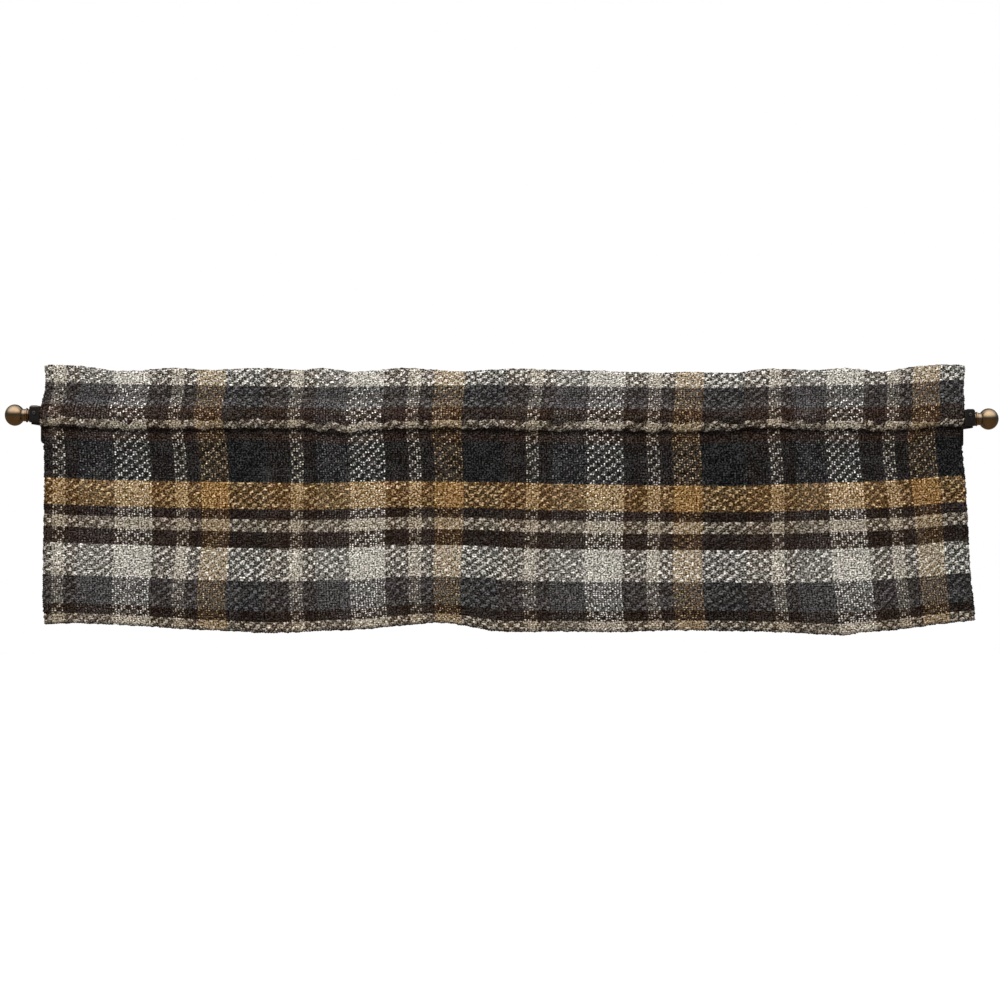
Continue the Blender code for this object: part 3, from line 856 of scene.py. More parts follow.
def cockle(x, z):
    waves = ((0.061, 0.043, 0.4), (0.037, -0.051, 2.2), (-0.029, 0.071, 4.0), (0.023, 0.033, 5.1))
    return sum(np.sin(2 * math.pi * (x / a + z / b) + phase) for a, b, phase in waves) / len(waves)


lift = lift + COCKLE * cockle(grid[:, :, 0], grid[:, :, 2])
normals = surface_normals(grid)
mid_panel = (len(back_rows) + front_yarns // 2, len(columns) // 2)
outward = np.sign(-normals[mid_panel][1])
grid = grid + normals * outward * lift[:, :, None]
print(f"relief from {lift.min() / MM:.2f} to {lift.max() / MM:.2f} mm")


# %% The cloth's mesh
def grid_mesh(name, points, map_u, map_v):
    """A mesh of quads over a grid of points, with a map in metres of flat cloth."""
    count_v, count_u = points.shape[:2]
    index = np.arange(count_v * count_u).reshape(count_v, count_u)
    corners = (index[:-1, :-1], index[1:, :-1], index[1:, 1:], index[:-1, 1:])
    faces = np.stack([corner.ravel() for corner in corners], axis=1)
    mesh = bpy.data.meshes.new(name)
    mesh.from_pydata(points.reshape(-1, 3).tolist(), [], faces.tolist())
    layer = mesh.uv_layers.new(name="cloth")
    loops = np.empty(len(mesh.loops), int)
    mesh.loops.foreach_get("vertex_index", loops)
    flat = np.stack(np.meshgrid(map_u, map_v), axis=2).reshape(-1, 2)
    layer.uv.foreach_set("vector", flat[loops].ravel())
    mesh.shade_smooth()
    return mesh


cloth_mesh = grid_mesh("valance_cloth", grid, columns * WARP_PITCH, rows * WEFT_PITCH)
cloth_mesh.materials.append(cloth_material)
cloth = bpy.data.objects.new("valance_cloth", cloth_mesh)
bpy.context.collection.objects.link(cloth)
solid = cloth.modifiers.new("Thickness", "SOLIDIFY")
solid.thickness = CORE_THICKNESS
solid.offset = 0.0
solid.use_even_offset = True
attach(cloth, "root")
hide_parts("valance")

# %% [markdown]
# ## Yarns along the edges
#
# At its folds and sides the cloth ends in yarns that turn round, and they make the outline bumpy. Geometry
# Nodes lays one bead of yarn on each given point, turned along the yarn and out from the edge. The points
# carry the colour of their yarn. Each result is made one plain mesh.

# %% Adding a piece
def add_piece(name, mesh, material, slot, *replaced):
    """Adds a finished mesh as a piece of the valance, in place of the named nodes."""
    mesh.materials.clear()
    mesh.materials.append(material)
    piece = bpy.data.objects.new(name, mesh)
    bpy.context.collection.objects.link(piece)
    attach(piece, "root")
    if replaced:
        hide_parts(*replaced)
    print(f"{name}: {len(mesh.polygons)} faces")


# %% Tools for geometry nodes
def geometry_group(name, **inlets):
    """A geometry node group. Returns it with a wire for its geometry and for each named number."""
    group = bpy.data.node_groups.new(name, "GeometryNodeTree")
    group.interface.new_socket("Geometry", in_out="INPUT", socket_type="NodeSocketGeometry")
    for label, value in inlets.items():
        kind = "NodeSocketInt" if isinstance(value, int) else "NodeSocketFloat"
        group.interface.new_socket(label, in_out="INPUT", socket_type=kind).default_value = value
    group.interface.new_socket("Geometry", in_out="OUTPUT", socket_type="NodeSocketGeometry")
    entry = group.nodes.new("NodeGroupInput")
    group.nodes.new("NodeGroupOutput")
    return group, {label: Wire(group, entry.outputs[label]) for label in ("Geometry", *inlets)}


def stored(tree, name):
    """A vector stored at each point."""
    return place(tree, "GeometryNodeInputNamedAttribute", 0, {"data_type": "FLOAT_VECTOR"}, Name=name)


def at_random(tree, spread, seed):
    """A number for each point, from 1 - spread to 1 + spread."""
    return place(tree, "FunctionNodeRandomValue", 1, {"data_type": "FLOAT"},
                 Min=1.0 - spread, Max=1.0 + spread, Seed=seed)


def finished(tree, points, instance, rotation, size, material):
    """Puts an instance on every point and makes everything real geometry with a material."""
    placed = place(tree, "GeometryNodeInstanceOnPoints", Points=points, Instance=instance, Rotation=rotation,
                   Scale=size)
    real = place(tree, "GeometryNodeRealizeInstances", Geometry=placed)
    put_out(tree, Geometry=place(tree, "GeometryNodeSetMaterial", Geometry=real, Material=material))


def grown(name, mesh, group, **numbers):
    """The plain mesh that a geometry node group makes out of a mesh."""
    source = bpy.data.objects.new(name, mesh)
    bpy.context.collection.objects.link(source)
    modifier = source.modifiers.new(name, "NODES")
    modifier.node_group = group
    sockets = {item.name: item.identifier for item in group.interface.items_tree if item.in_out == "INPUT"}
    for label, value in numbers.items():
        modifier[sockets[label]] = value
    made = bpy.data.meshes.new_from_object(source.evaluated_get(bpy.context.evaluated_depsgraph_get()))
    made.name = name
    made.shade_smooth()
    bpy.data.objects.remove(source, do_unlink=True)
    return made


# %% Yarn and thread
yarn_end, tree, shader = new_material("edge_yarn", roughness=0.9)
dyed = place(tree, "ShaderNodeAttribute", "Color", {"attribute_name": "yarn_colour"})
spot = place(tree, "ShaderNodeTexCoord", "Object")
fibre = place(tree, "ShaderNodeTexNoise", "Fac", Vector=spot, Scale=900.0, Detail=2.0)
feed(shader.inputs["Base Color"], shaded(dyed, fibre * 0.9 + 0.2))
feed(shader.inputs["Normal"], bump(fibre, distance=0.0004, strength=0.7))

thread, tree, shader = new_material("sewing_thread", roughness=0.75)
spot = place(tree, "ShaderNodeTexCoord", "Object")
ply = place(tree, "ShaderNodeTexNoise", "Fac", Vector=spot, Scale=1500.0, Detail=1.0)
feed(shader.inputs["Base Color"], mix(ply, linear((30, 24, 21)), linear((66, 54, 46))))
feed(shader.inputs["Normal"], bump(ply, distance=0.0002, strength=0.6))

# %% A bead of yarn on each point
loops, at = geometry_group("yarn_loops", Length=0.0012, Width=0.0015, Bulge=0.0008, Unevenness=0.3, Seed=3)
bead = place(loops, "GeometryNodeMeshUVSphere", Segments=8, Rings=5, Radius=1.0)
turned = place(loops, "FunctionNodeAxesToRotation", 0, {"primary_axis": "Z", "secondary_axis": "X"},
               Primary_Axis=stored(loops, "along"), Secondary_Axis=stored(loops, "out"))
uneven = at_random(loops, at["Unevenness"], at["Seed"])
size = vector(at["Bulge"] * uneven, at["Width"] * uneven, at["Length"])
finished(loops, at["Geometry"], bead, turned, size, yarn_end)
print("yarn loops:", len(loops.nodes), "nodes")


# %% Points for the edge yarns
def row_line(number, off=0.0):
    """The points of one weft row, a distance off the cloth's outer side, and its outward directions."""
    k = int(np.clip(np.searchsorted(rows, number), 1, len(rows) - 1))
    share = (number - rows[k - 1]) / (rows[k] - rows[k - 1])
    points = grid[k - 1] * (1 - share) + grid[k] * share
    out = (normals[k - 1] * (1 - share) + normals[k] * share) * outward
    return points + out * off, out


def yarn_names(stripes):
    return [name for name, count in stripes for _ in range(count)]


def point_mesh(name, places, along, out, names, shade):
    """A mesh of loose points with the values that the beads of yarn read."""
    mesh = bpy.data.meshes.new(name)
    mesh.from_pydata([tuple(point) for point in places], [], [])
    for label, values in (("along", along), ("out", out)):
        mesh.attributes.new(label, "FLOAT_VECTOR", "POINT").data.foreach_set("vector", np.ravel(values))
    colours = [[part * shade for part in YARN_COLOURS[name][:3]] + [1.0] for name in names]
    mesh.attributes.new("yarn_colour", "FLOAT_COLOR", "POINT").data.foreach_set("color", np.ravel(colours))
    return mesh


warp_names = (yarn_names(WARP_STRIPES) * 5)[WARP_START:WARP_START + WARP_YARNS]
weft_names = yarn_names(WEFT_BEHIND) + yarn_names(WEFT_FRONT)

# %% Yarns that turn round at the sides
SIDE_REACH = 0.0002           # of a loop's middle beyond the cloth's edge
SIDE_TURNS = 0.8              # share of the weft yarns that make a loop at a side
SIDE_OWN_COLOUR = 0.7         # share of these loops in the weft's colour, the rest in the outermost warp's
EDGE_SHADE = 0.62             # the edge yarns are half in the shade of the cloth
PRESSED_BELOW = 0.0140        # a cup presses the yarns flat this far below the rod's axis
PRESSED_ABOVE = 0.0180        # and this far above it



def beside_cup(point):
    return -PRESSED_BELOW < point[2] - rod_height(point[0]) < PRESSED_ABOVE


side_places, side_along, side_out, side_names = [], [], [], []
for number, name in enumerate(weft_names):
    points, facing = row_line(number - behind_yarns + 0.5)
    for end, side in ((0, -1.0), (-1, 1.0)):
        if chance_of.uniform() < SIDE_TURNS:
            seen_name = name if chance_of.uniform() < SIDE_OWN_COLOUR else warp_names[end]
            if beside_cup(points[end]):
                continue
            side_places.append(points[end] + np.array([side * SIDE_REACH, 0.0, 0.0]))
            side_along.append(facing[end])
            side_out.append([side, 0.0, 0.0])
            side_names.append(seen_name)
print(len(side_places), "yarns turn at the sides")

# %% Yarns along the two folds
FOLD_REACH = {"top": 0.0004, "hem": 0.0007}
FOLD_SHADE = {"top": EDGE_SHADE, "hem": 0.30}
SHARE_OF_WARP = {"top": 0.5, "hem": 0.2}    # how many of the yarns along a fold are warp

fold_places, fold_names = {}, {}
for fold_name, number, up in (("top", 0.0, 1.0), ("hem", float(front_yarns), -1.0)):
    points, _ = row_line(number)
    fold_places[fold_name] = points[1:-1] + np.array([0.0, 0.0, up * FOLD_REACH[fold_name]])
    weft_here = IVORY if fold_name == "top" else BROWN
    picks = chance_of.uniform(size=WARP_YARNS) < SHARE_OF_WARP[fold_name]
    fold_names[fold_name] = [warp if pick else weft_here for warp, pick in zip(warp_names, picks)]

# %% Edge yarns as meshes
source = point_mesh("sides", side_places, side_along, side_out, side_names, EDGE_SHADE)
edges = [grown("side_yarns", source, loops, Length=0.0014, Width=0.0017, Bulge=0.0011, Unevenness=0.45,
               Seed=11)]
for fold_name, up in (("top", 1.0), ("hem", -1.0)):
    count = len(fold_places[fold_name])
    along, out = [[0.0, 1.0, 0.0]] * count, [[0.0, 0.0, up]] * count
    source = point_mesh(fold_name, fold_places[fold_name], along, out, fold_names[fold_name],
                        FOLD_SHADE[fold_name])
    edges.append(grown(fold_name + "_yarns", source, loops, Length=0.0022, Width=0.0022, Bulge=0.0010,
                       Unevenness=0.45, Seed=17))
for mesh in edges:
    add_piece(mesh.name, mesh, yarn_end, "plaid_cloth")

# %% [markdown]
# ## Stitching
#
# The heading, the pocket and the hem are each sewn with one row of machine stitches, in dark thread that
# sinks into the cloth. The rows are paths along the weft. Geometry Nodes divides each path evenly and lays
# a stitch on every division.

# %% Rows of stitches
sewing, at = geometry_group("stitch_rows", Spacing=0.0045, Length=0.0016, Thickness=0.0004, Unevenness=0.2,
                            Seed=5)
path = place(sewing, "GeometryNodeMeshToCurve", Mesh=at["Geometry"])
divided = place(sewing, "GeometryNodeResampleCurve", settings={"mode": "LENGTH"}, Curve=path,
                Length=at["Spacing"])
stitch = place(sewing, "GeometryNodeMeshUVSphere", Segments=6, Rings=4, Radius=1.0)
turned = place(sewing, "FunctionNodeAlignRotationToVector", 0, {"axis": "Z"},
               Vector=place(sewing, "GeometryNodeInputTangent"))
uneven = at_random(sewing, at["Unevenness"], at["Seed"])
size = vector(at["Thickness"], at["Thickness"] * uneven, at["Length"] * uneven)
finished(sewing, divided, stitch, turned, size, thread)

STITCH_RISE = 0.0010          # of the thread's middle above the middle of the cloth
SEWN_ROWS = {"heading_front": 13.5, "heading_back": -15.2, "pocket_back": -31.0,
             "hem_front": front_yarns - 6.0, "hem_back": front_yarns + 6.8}
corners, links = [], []
for number in SEWN_ROWS.values():
    first = len(corners)
    corners += [tuple(point) for point in row_line(number, STITCH_RISE)[0]]
    links += [(k, k + 1) for k in range(first, len(corners) - 1)]
paths = bpy.data.meshes.new("seams")
paths.from_pydata(corners, links, [])
add_piece("stitches", grown("stitches", paths, sewing), thread, "plaid_cloth")

# %% [markdown]
# ## Metal that has aged
#
# Brass and bronze darken where hands don't rub them: in grooves, and in soft blotches all over. Painted
# metal does the opposite and shows its bare colour along worn edges. Both are one effect, a second colour
# that a mask lets through, so both are one node group. Its masks read two values that the mesh code stores:
# how deep in a groove each point lies, and whether each face is part of a worn edge.

# %% The aged metal group
aged, at = new_group(
    "aged_metal",
    {"Fresh": (0.5, 0.4, 0.3, 1.0), "Aged": (0.1, 0.05, 0.02, 1.0), "Bare": (0.4, 0.3, 0.2, 1.0),
     "Blotches": 0.5, "In grooves": 0.8, "Edge wear": 0.0, "Smoothness": 0.7, "Blotch size": 0.006,
     "Grain size": 0.0008},
    {"Colour": "Color", "Roughness": "Float", "Height": "Float"},
)
spot = place(aged, "ShaderNodeTexCoord", "Object")
spot_x, spot_y, spot_z = (place(aged, "ShaderNodeSeparateXYZ", axis, Vector=spot) for axis in "XYZ")


def metal_noise(size, detail, outlet=0, stretch=1.0):
    """Noise over the metal, with features of a size in metres. A stretch draws it out along the rod."""
    where = vector(spot_x / (size * stretch), spot_y / size, spot_z / size)
    return place(aged, "ShaderNodeTexNoise", outlet, Vector=where, Scale=1.0, Detail=detail, Roughness=0.6)


blotch = ((metal_noise(at["Blotch size"], 3.0) - 0.42) * 3.2).clamped() * at["Blotches"]
groove = place(aged, "ShaderNodeAttribute", "Fac", {"attribute_name": "groove"})
edge = place(aged, "ShaderNodeAttribute", "Fac", {"attribute_name": "edge"})
grain_of_metal = metal_noise(at["Grain size"], 2.0) - 0.5
brushed = metal_noise(at["Grain size"], 1.0, stretch=9.0) - 0.5
darkened = blotch.math("MAXIMUM", groove * at["In grooves"])
rubbed = ((edge + grain_of_metal * 1.6 - 0.35) * 2.5).clamped() * at["Edge wear"]
put_out(
    aged,
    Colour=mix(rubbed, mix(darkened, at["Fresh"], at["Aged"]), at["Bare"]),
    Roughness=(1.0 - at["Smoothness"] + darkened * 0.16 + brushed * 0.12 + grain_of_metal * 0.05).clamped(),
    Height=grain_of_metal + brushed,
)
print("aged metal:", len(aged.nodes), "nodes")

# %% Brass, bronze, black paint and black steel
def metal_material(name, shine, relief, look, metallic=1.0, **constants):
    """A material that wears the aged metal group with values of its own."""
    material, tree, shader = new_material(name, 0.4, metallic, **constants)
    worn = use_group(tree, aged, Smoothness=shine, **look)
    feed(shader.inputs["Base Color"], worn["Colour"])
    feed(shader.inputs["Roughness"], worn["Roughness"])
    feed(shader.inputs["Normal"], bump(worn["Height"], distance=relief, strength=0.6))
    return material


brass = metal_material(
    "aged_brass", shine=0.80, relief=0.000004, Coat_Weight=1.0, Coat_Roughness=0.16, Coat_IOR=2.3,
    look={"Fresh": linear((170, 132, 70)), "Aged": linear((110, 76, 34)), "Bare": linear((214, 188, 150)),
          "Blotches": 0.55, "In_grooves": 0.9, "Blotch_size": 0.014, "Grain_size": 0.0012})
bronze = metal_material(
    "bronzed_rod", shine=0.66, relief=0.00004,
    look={"Fresh": linear((92, 66, 46)), "Aged": linear((46, 32, 24)), "Bare": linear((150, 116, 80)),
          "Blotches": 0.6, "Blotch_size": 0.02})
black_paint = metal_material(
    "black_bracket", shine=0.50, relief=0.00008, metallic=0.0,
    look={"Fresh": linear((22, 20, 18)), "Aged": linear((16, 13, 12)), "Bare": linear((96, 76, 62)),
          "Blotches": 0.5, "Edge_wear": 0.55, "Blotch_size": 0.010, "Grain_size": 0.0006})
black_steel = metal_material(
    "black_screw", shine=0.66, relief=0.00002,
    look={"Fresh": linear((84, 82, 86)), "Aged": linear((44, 42, 42)), "Bare": linear((170, 168, 164)),
          "Blotches": 0.3, "Edge_wear": 0.7, "Blotch_size": 0.003})

# %% [markdown]
# ## Turning on a lathe
#
# A finial is turned from a bar, so its shape is one outline spun about its axis. The outline is written as
# arcs and short straight steps. A screw modifier could spin it, but here the rings are laid out as an
# array, because then each point can also be told how deep in a groove it lies, which the brass uses.

# %% A lathe for meshes
LATHE_STEPS = 72
ON_AXIS = 1e-7                # a radius below this is a pole


def turned_mesh(name, outline, grooves, place_at, steps=LATHE_STEPS):
    """A closed mesh of an outline of (radius, height) from one pole to the other, spun and then placed."""
    bm = bmesh.new()
    deep = bm.verts.layers.float.new("groove")
    rings = []
    for (radius, height), depth_here in zip(outline, grooves):
        count = 1 if radius < ON_AXIS else steps
        ring = []
        for step in range(count):
            angle = 2 * math.pi * step / steps
            point = Vector((radius * math.cos(angle), radius * math.sin(angle), height))
            vert = bm.verts.new(place_at @ point)
            vert[deep] = depth_here
            ring.append(vert)
        rings.append(ring)
    for upper, lower in zip(rings, rings[1:]):
        for step in range(steps):
            near, far = step, (step + 1) % steps
            corners = [upper[near % len(upper)], lower[near % len(lower)],
                       lower[far % len(lower)], upper[far % len(upper)]]
            bm.faces.new(list(dict.fromkeys(corners)))
    bmesh.ops.recalc_face_normals(bm, faces=bm.faces)
    mesh = bpy.data.meshes.new(name)
    bm.to_mesh(mesh)
    bm.free()
    mesh.shade_smooth()
    mesh.set_sharp_from_angle(angle=math.radians(50))
    return mesh


def profile_arc(radius_at, height_at, radius, start, end, count):
    """Points of a lathe outline on an arc. Angles are in degrees, from straight outwards towards the tip."""
    angles = np.radians(np.linspace(start, end, count))
    return [(radius_at + radius * math.cos(a), height_at + radius * math.sin(a)) for a in angles]


# %% The finial's outline
FINIAL_LENGTH = 0.0375        # from the collar's face to the tip
BALL_RADIUS = 0.0166
BALL_HALF_LENGTH = 0.0153
NECK_RADIUS = 0.0097
COVE_RADIUS = 0.0007          # of the hollow between the ball and the neck
BEAD_MIDDLE, BEAD_HEIGHT, BEAD_RADIUS = 0.0098, 0.0034, 0.0014
SPIGOT_RADIUS = 0.0066        # fits the rod's tube
SPIGOT_LENGTH = 0.021


def finial_outline():
    """The outline from the tip down to the end of the spigot, and how deep in a groove each point lies."""
    middle = FINIAL_LENGTH - BALL_HALF_LENGTH
    last = math.pi - math.asin((NECK_RADIUS + 0.0004) / BALL_RADIUS)
    ball = [(BALL_RADIUS * math.sin(last * i / 48), middle + BALL_HALF_LENGTH * math.cos(last * i / 48))
            for i in range(49)]
    cove = profile_arc(NECK_RADIUS + 0.0006, ball[-1][1] - COVE_RADIUS, COVE_RADIUS, 100, 180, 6)
    neck = [(NECK_RADIUS - 0.0001, 0.0078), (NECK_RADIUS - 0.0002, 0.0066)]
    fillet = [(0.0095, 0.0055), (0.0094, 0.0050)]
    bead = profile_arc(BEAD_MIDDLE, BEAD_HEIGHT, BEAD_RADIUS, 78, -78, 16)
    groove = [(0.0089, 0.0017), (0.0088, 0.0015)]
    collar = [(0.0092, 0.0012), (0.0094, 0.0009), (0.0094, 0.0003), (0.0091, 0.0)]
    spigot = [(SPIGOT_RADIUS, 0.0), (SPIGOT_RADIUS, 0.001 - SPIGOT_LENGTH),
              (SPIGOT_RADIUS - 0.001, -SPIGOT_LENGTH), (0.0, -SPIGOT_LENGTH)]
    parts = ((ball, 0.0), (cove, 1.0), (neck, 0.25), (fillet, 1.0), (bead, 0.0), (groove, 1.0),
             (collar, 0.1), (spigot, 0.4))
    outline = [point for part, _ in parts for point in part]
    return outline, [depth_here for part, depth_here in parts for _ in part]


# %% Both finials
for side, name, end in ((-1, "finial_left", ROD_LEFT), (1, "finial_right", ROD_RIGHT)):
    face = end + side * JOINT_GAP
    turn_to = Euler((0.0, side * math.pi / 2 + ROD_TILT, 0.0)).to_matrix().to_4x4()
    seat = Matrix.Translation((face, -ROD_REACH, rod_height(face))) @ turn_to
    outline, grooves = finial_outline()
    add_piece("turned_" + name, turned_mesh(name, outline, grooves, seat), brass, "aged_brass", name)

# %% [markdown]
# ## The rod
#
# The rod is a plain drawn tube, and the engineered solid already has its true shape. Only its finish is
# missing, so the solid stays and gets the bronze in its own material slot.

# %% The rod's finish
rod = bpy.data.objects["rod"]
for slot in rod.material_slots:
    slot.material = bronze
print("rod:", len(rod.data.polygons), "faces")

# %% [markdown]
# ## The cup brackets
#
# Each bracket is a small cast block with a cup for the rod, on a flat arm that runs back to a plate on the
# wall. The block is made as it would be machined: a box is joined with the arm and the plate, one channel
# is milled for the rod, and the holes are drilled, all with Boolean modifiers. A bevel rounds what the
# tools left sharp. Everything is then made one plain mesh.

# %% Boxes, cutters and the finished mesh
CUP_WIDTH, CUP_WALL = 0.015, 0.003
CUP_TOP, CUP_BOTTOM = 0.0150, 0.0112
CUP_CORNER, CUP_EDGE = 0.0040, 0.00042
CUP_CHAMFER = {-1: 0.0019, 1: 0.0}   # the left cup's upper front edge is filed off
CUP_SHIFT = {-1: 0.0019, 1: 0.0004}  # how far each cup stands in from the finial's collar
ARM_WIDTH, ARM_THICKNESS, ARM_DROP = 0.011, 0.004, 0.0030
ARM_START = 0.006             # behind the cup's front
PLATE_WIDTH, PLATE_HEIGHT, PLATE_THICKNESS, PLATE_DROP = 0.014, 0.060, 0.003, 0.0125
PLATE_ROUNDING = 0.9          # of half its width
WALL_HOLE_RADIUS, WALL_HOLE_SPREAD = 0.0022, 0.038
COUNTERSINK = 0.0018
SCREW_HOLE_RADIUS = 0.0019
PAST = 0.0007                 # how far a drill or cutter reaches past what it cuts
COLLAR_CLEARANCE = 0.0003
SCREW_RISE = 0.0040
SCREW_SHIFT = {-1: -0.0010, 1: 0.0022}    # neither screw is quite where the other is


def raw_object(name, bm):
    mesh = bpy.data.meshes.new(name)
    bm.to_mesh(mesh)
    bm.free()
    made = bpy.data.objects.new(name, mesh)
    bpy.context.collection.objects.link(made)
    return made


def raw_box(name, low, high, rounding=0.0, round_from=-math.inf):
    """A box. Its edges along Y can be rounded, from a height upwards."""
    low, high = Vector(low), Vector(high)
    bm = bmesh.new()
    bmesh.ops.create_cube(bm, size=1.0)
    bmesh.ops.scale(bm, vec=high - low, verts=bm.verts)
    bmesh.ops.translate(bm, vec=(low + high) / 2, verts=bm.verts)
    if rounding:
        along_y = [edge for edge in bm.edges if min(vert.co.z for vert in edge.verts) > round_from
                   and abs((edge.verts[0].co - edge.verts[1].co).normalized().y) > 0.9]
        bmesh.ops.bevel(bm, geom=along_y, offset=rounding, segments=8, profile=0.5, affect="EDGES")
    return raw_object(name, bm)


def raw_drill(name, centre, outline, steps=32):
    """A closed turned shape along Y, cut from the front back. The outline is of (distance, radius)."""
    bm = bmesh.new()
    turns = [2 * math.pi * k / steps for k in range(steps)]
    x, front, z = centre
    rings = [[bm.verts.new((x + radius * math.cos(turn), front + y, z + radius * math.sin(turn)))
              for turn in turns] for y, radius in outline]
    for ring, next_ring in zip(rings, rings[1:]):
        for k in range(steps):
            bm.faces.new((ring[k - 1], ring[k], next_ring[k], next_ring[k - 1]))
    for ring in (rings[0], rings[-1]):
        bm.faces.new(ring)
    bmesh.ops.recalc_face_normals(bm, faces=bm.faces)
    return raw_object(name, bm)


def raw_channel(name, centre, radius, height, width, steps=32):
    """A U-shaped cutter along X, with a round bottom about a centre and straight sides up from it."""
    bm = bmesh.new()
    turns = [math.pi * (1 + k / steps) for k in range(steps + 1)]
    outline = [(radius * math.cos(turn), radius * math.sin(turn)) for turn in turns]
    outline += [(radius, height), (-radius, height)]
    x, y_middle, z_middle = centre
    end = bm.faces.new([bm.verts.new((x - width / 2, y_middle + y, z_middle + z)) for y, z in outline])
    pulled = bmesh.ops.extrude_face_region(bm, geom=[end])["geom"]
    far_end = [part for part in pulled if isinstance(part, bmesh.types.BMVert)]
    bmesh.ops.translate(bm, vec=(width, 0.0, 0.0), verts=far_end)
    bmesh.ops.recalc_face_normals(bm, faces=bm.faces)
    return raw_object(name, bm)


def combine(base, others, bevel_width, bevel_segments=3):
    """Joins or cuts a base with other shapes and rounds its edges. Returns one mesh with its edges marked."""
    for operation, other in others:
        modifier = base.modifiers.new(other.name, "BOOLEAN")
        modifier.operation, modifier.solver, modifier.object = operation, "EXACT", other
    rounding = base.modifiers.new("Rounding", "BEVEL")
    rounding.width, rounding.segments = bevel_width, bevel_segments
    rounding.limit_method, rounding.angle_limit = "ANGLE", math.radians(40)
    rounding.use_clamp_overlap = True
    ready = base.evaluated_get(bpy.context.evaluated_depsgraph_get())
    mesh = bpy.data.meshes.new_from_object(ready)
    for made in (base, *(other for _, other in others)):
        bpy.data.objects.remove(made, do_unlink=True)
    mark_edges(mesh)
    return mesh


FILED_FACING = Vector((0.0, -1.0, 1.0)).normalized()
FILED_AREA = 8e-5             # square metres: a filed edge is smaller than this
WORN_AREA = 8e-6              # and a strip of a rounded edge smaller than this
WORN_BEND = 0.3               # radians, over which an edge wears


def mark_edges(mesh):
    """Stores 1 on each face of a filed or rounded outer edge, where paint wears off, and 0 on the rest."""
    bm = bmesh.new()
    bm.from_mesh(mesh)
    worn_faces = []
    for face in bm.faces:
        bends = [edge.calc_face_angle_signed(0.0) for edge in face.edges]
        filed = face.calc_area() < FILED_AREA and face.normal.dot(FILED_FACING) > 0.99
        worn_faces.append(float(filed or (face.calc_area() < WORN_AREA and max(bends) > WORN_BEND)))
    bm.free()
    mesh.attributes.new("edge", "FLOAT", "FACE").data.foreach_set("value", worn_faces)
    mesh.shade_smooth()
    mesh.set_sharp_from_angle(angle=math.radians(32))


# %% One bracket
def bracket_mesh(side, end):
    x = end - side * (COLLAR_CLEARANCE + CUP_SHIFT[side] + CUP_WIDTH / 2)
    axis = rod_height(x)
    bore = ROD_RADIUS + SEAT_GAP
    front, back = -ROD_REACH - bore - CUP_WALL, -ROD_REACH + bore + CUP_WALL
    half_cup, half_arm, half_plate = CUP_WIDTH / 2, ARM_WIDTH / 2, PLATE_WIDTH / 2
    arm_low = axis - CUP_BOTTOM - ARM_DROP
    plate_mid = axis - PLATE_DROP

    cup = raw_box("cup", (x - half_cup, front, axis - CUP_BOTTOM), (x + half_cup, back, axis + CUP_TOP),
                  CUP_CORNER, axis)
    arm = raw_box("arm", (x - half_arm, front + ARM_START, arm_low),
                  (x + half_arm, -PLATE_THICKNESS / 2, arm_low + ARM_THICKNESS))
    plate = raw_box("plate", (x - half_plate, -PLATE_THICKNESS, plate_mid - PLATE_HEIGHT / 2),
                    (x + half_plate, 0.0, plate_mid + PLATE_HEIGHT / 2), half_plate * PLATE_ROUNDING)
    channel = raw_channel("channel", (x, -ROD_REACH, axis), bore, 2 * CUP_TOP, 2 * CUP_WIDTH)
    screw_hole = raw_drill("screw_hole", (x, front, axis + SCREW_RISE + SCREW_SHIFT[side]),
                           [(-PAST, SCREW_HOLE_RADIUS), (CUP_WALL + PAST, SCREW_HOLE_RADIUS)], 24)
    shapes = [("UNION", arm), ("UNION", plate), ("DIFFERENCE", channel), ("DIFFERENCE", screw_hole)]
    countersunk = [(-PAST, WALL_HOLE_RADIUS + COUNTERSINK + PAST), (COUNTERSINK, WALL_HOLE_RADIUS),
                   (PLATE_THICKNESS + PAST, WALL_HOLE_RADIUS)]
    for rise in (WALL_HOLE_SPREAD / 2, -WALL_HOLE_SPREAD / 2):
        mouth = (x, -PLATE_THICKNESS, plate_mid + rise)
        shapes.append(("DIFFERENCE", raw_drill("wall_hole", mouth, countersunk)))
    if CUP_CHAMFER[side]:
        cut = CUP_CHAMFER[side]
        wedge = raw_box("wedge", (x - CUP_WIDTH, -cut, -cut), (x + CUP_WIDTH, cut, cut))
        corner = Matrix.Translation((0.0, front, axis + CUP_TOP))
        wedge.matrix_world = corner @ Matrix.Rotation(math.pi / 4, 4, "X")
        shapes.append(("DIFFERENCE", wedge))
    return combine(cup, shapes, CUP_EDGE)


for side, name, end in ((-1, "bracket_left", ROD_LEFT), (1, "bracket_right", ROD_RIGHT)):
    add_piece("cast_" + name, bracket_mesh(side, end), black_paint, "black_bracket", name)

# %% [markdown]
# ## Set screws
#
# A small domed screw in each cup holds the rod. Its head is turned, and a six-sided socket is pressed into
# it.

# %% The set screws
SCREW_HEAD_RADIUS, SCREW_HEAD_HEIGHT, SCREW_SHANK_RADIUS = 0.0030, 0.0016, 0.0016
SCREW_EDGE = 0.0007           # rounding of the head's rim
SHANK_CHAMFER = 0.0004
SOCKET_RADIUS, SOCKET_DEPTH = 0.0014, 0.0010


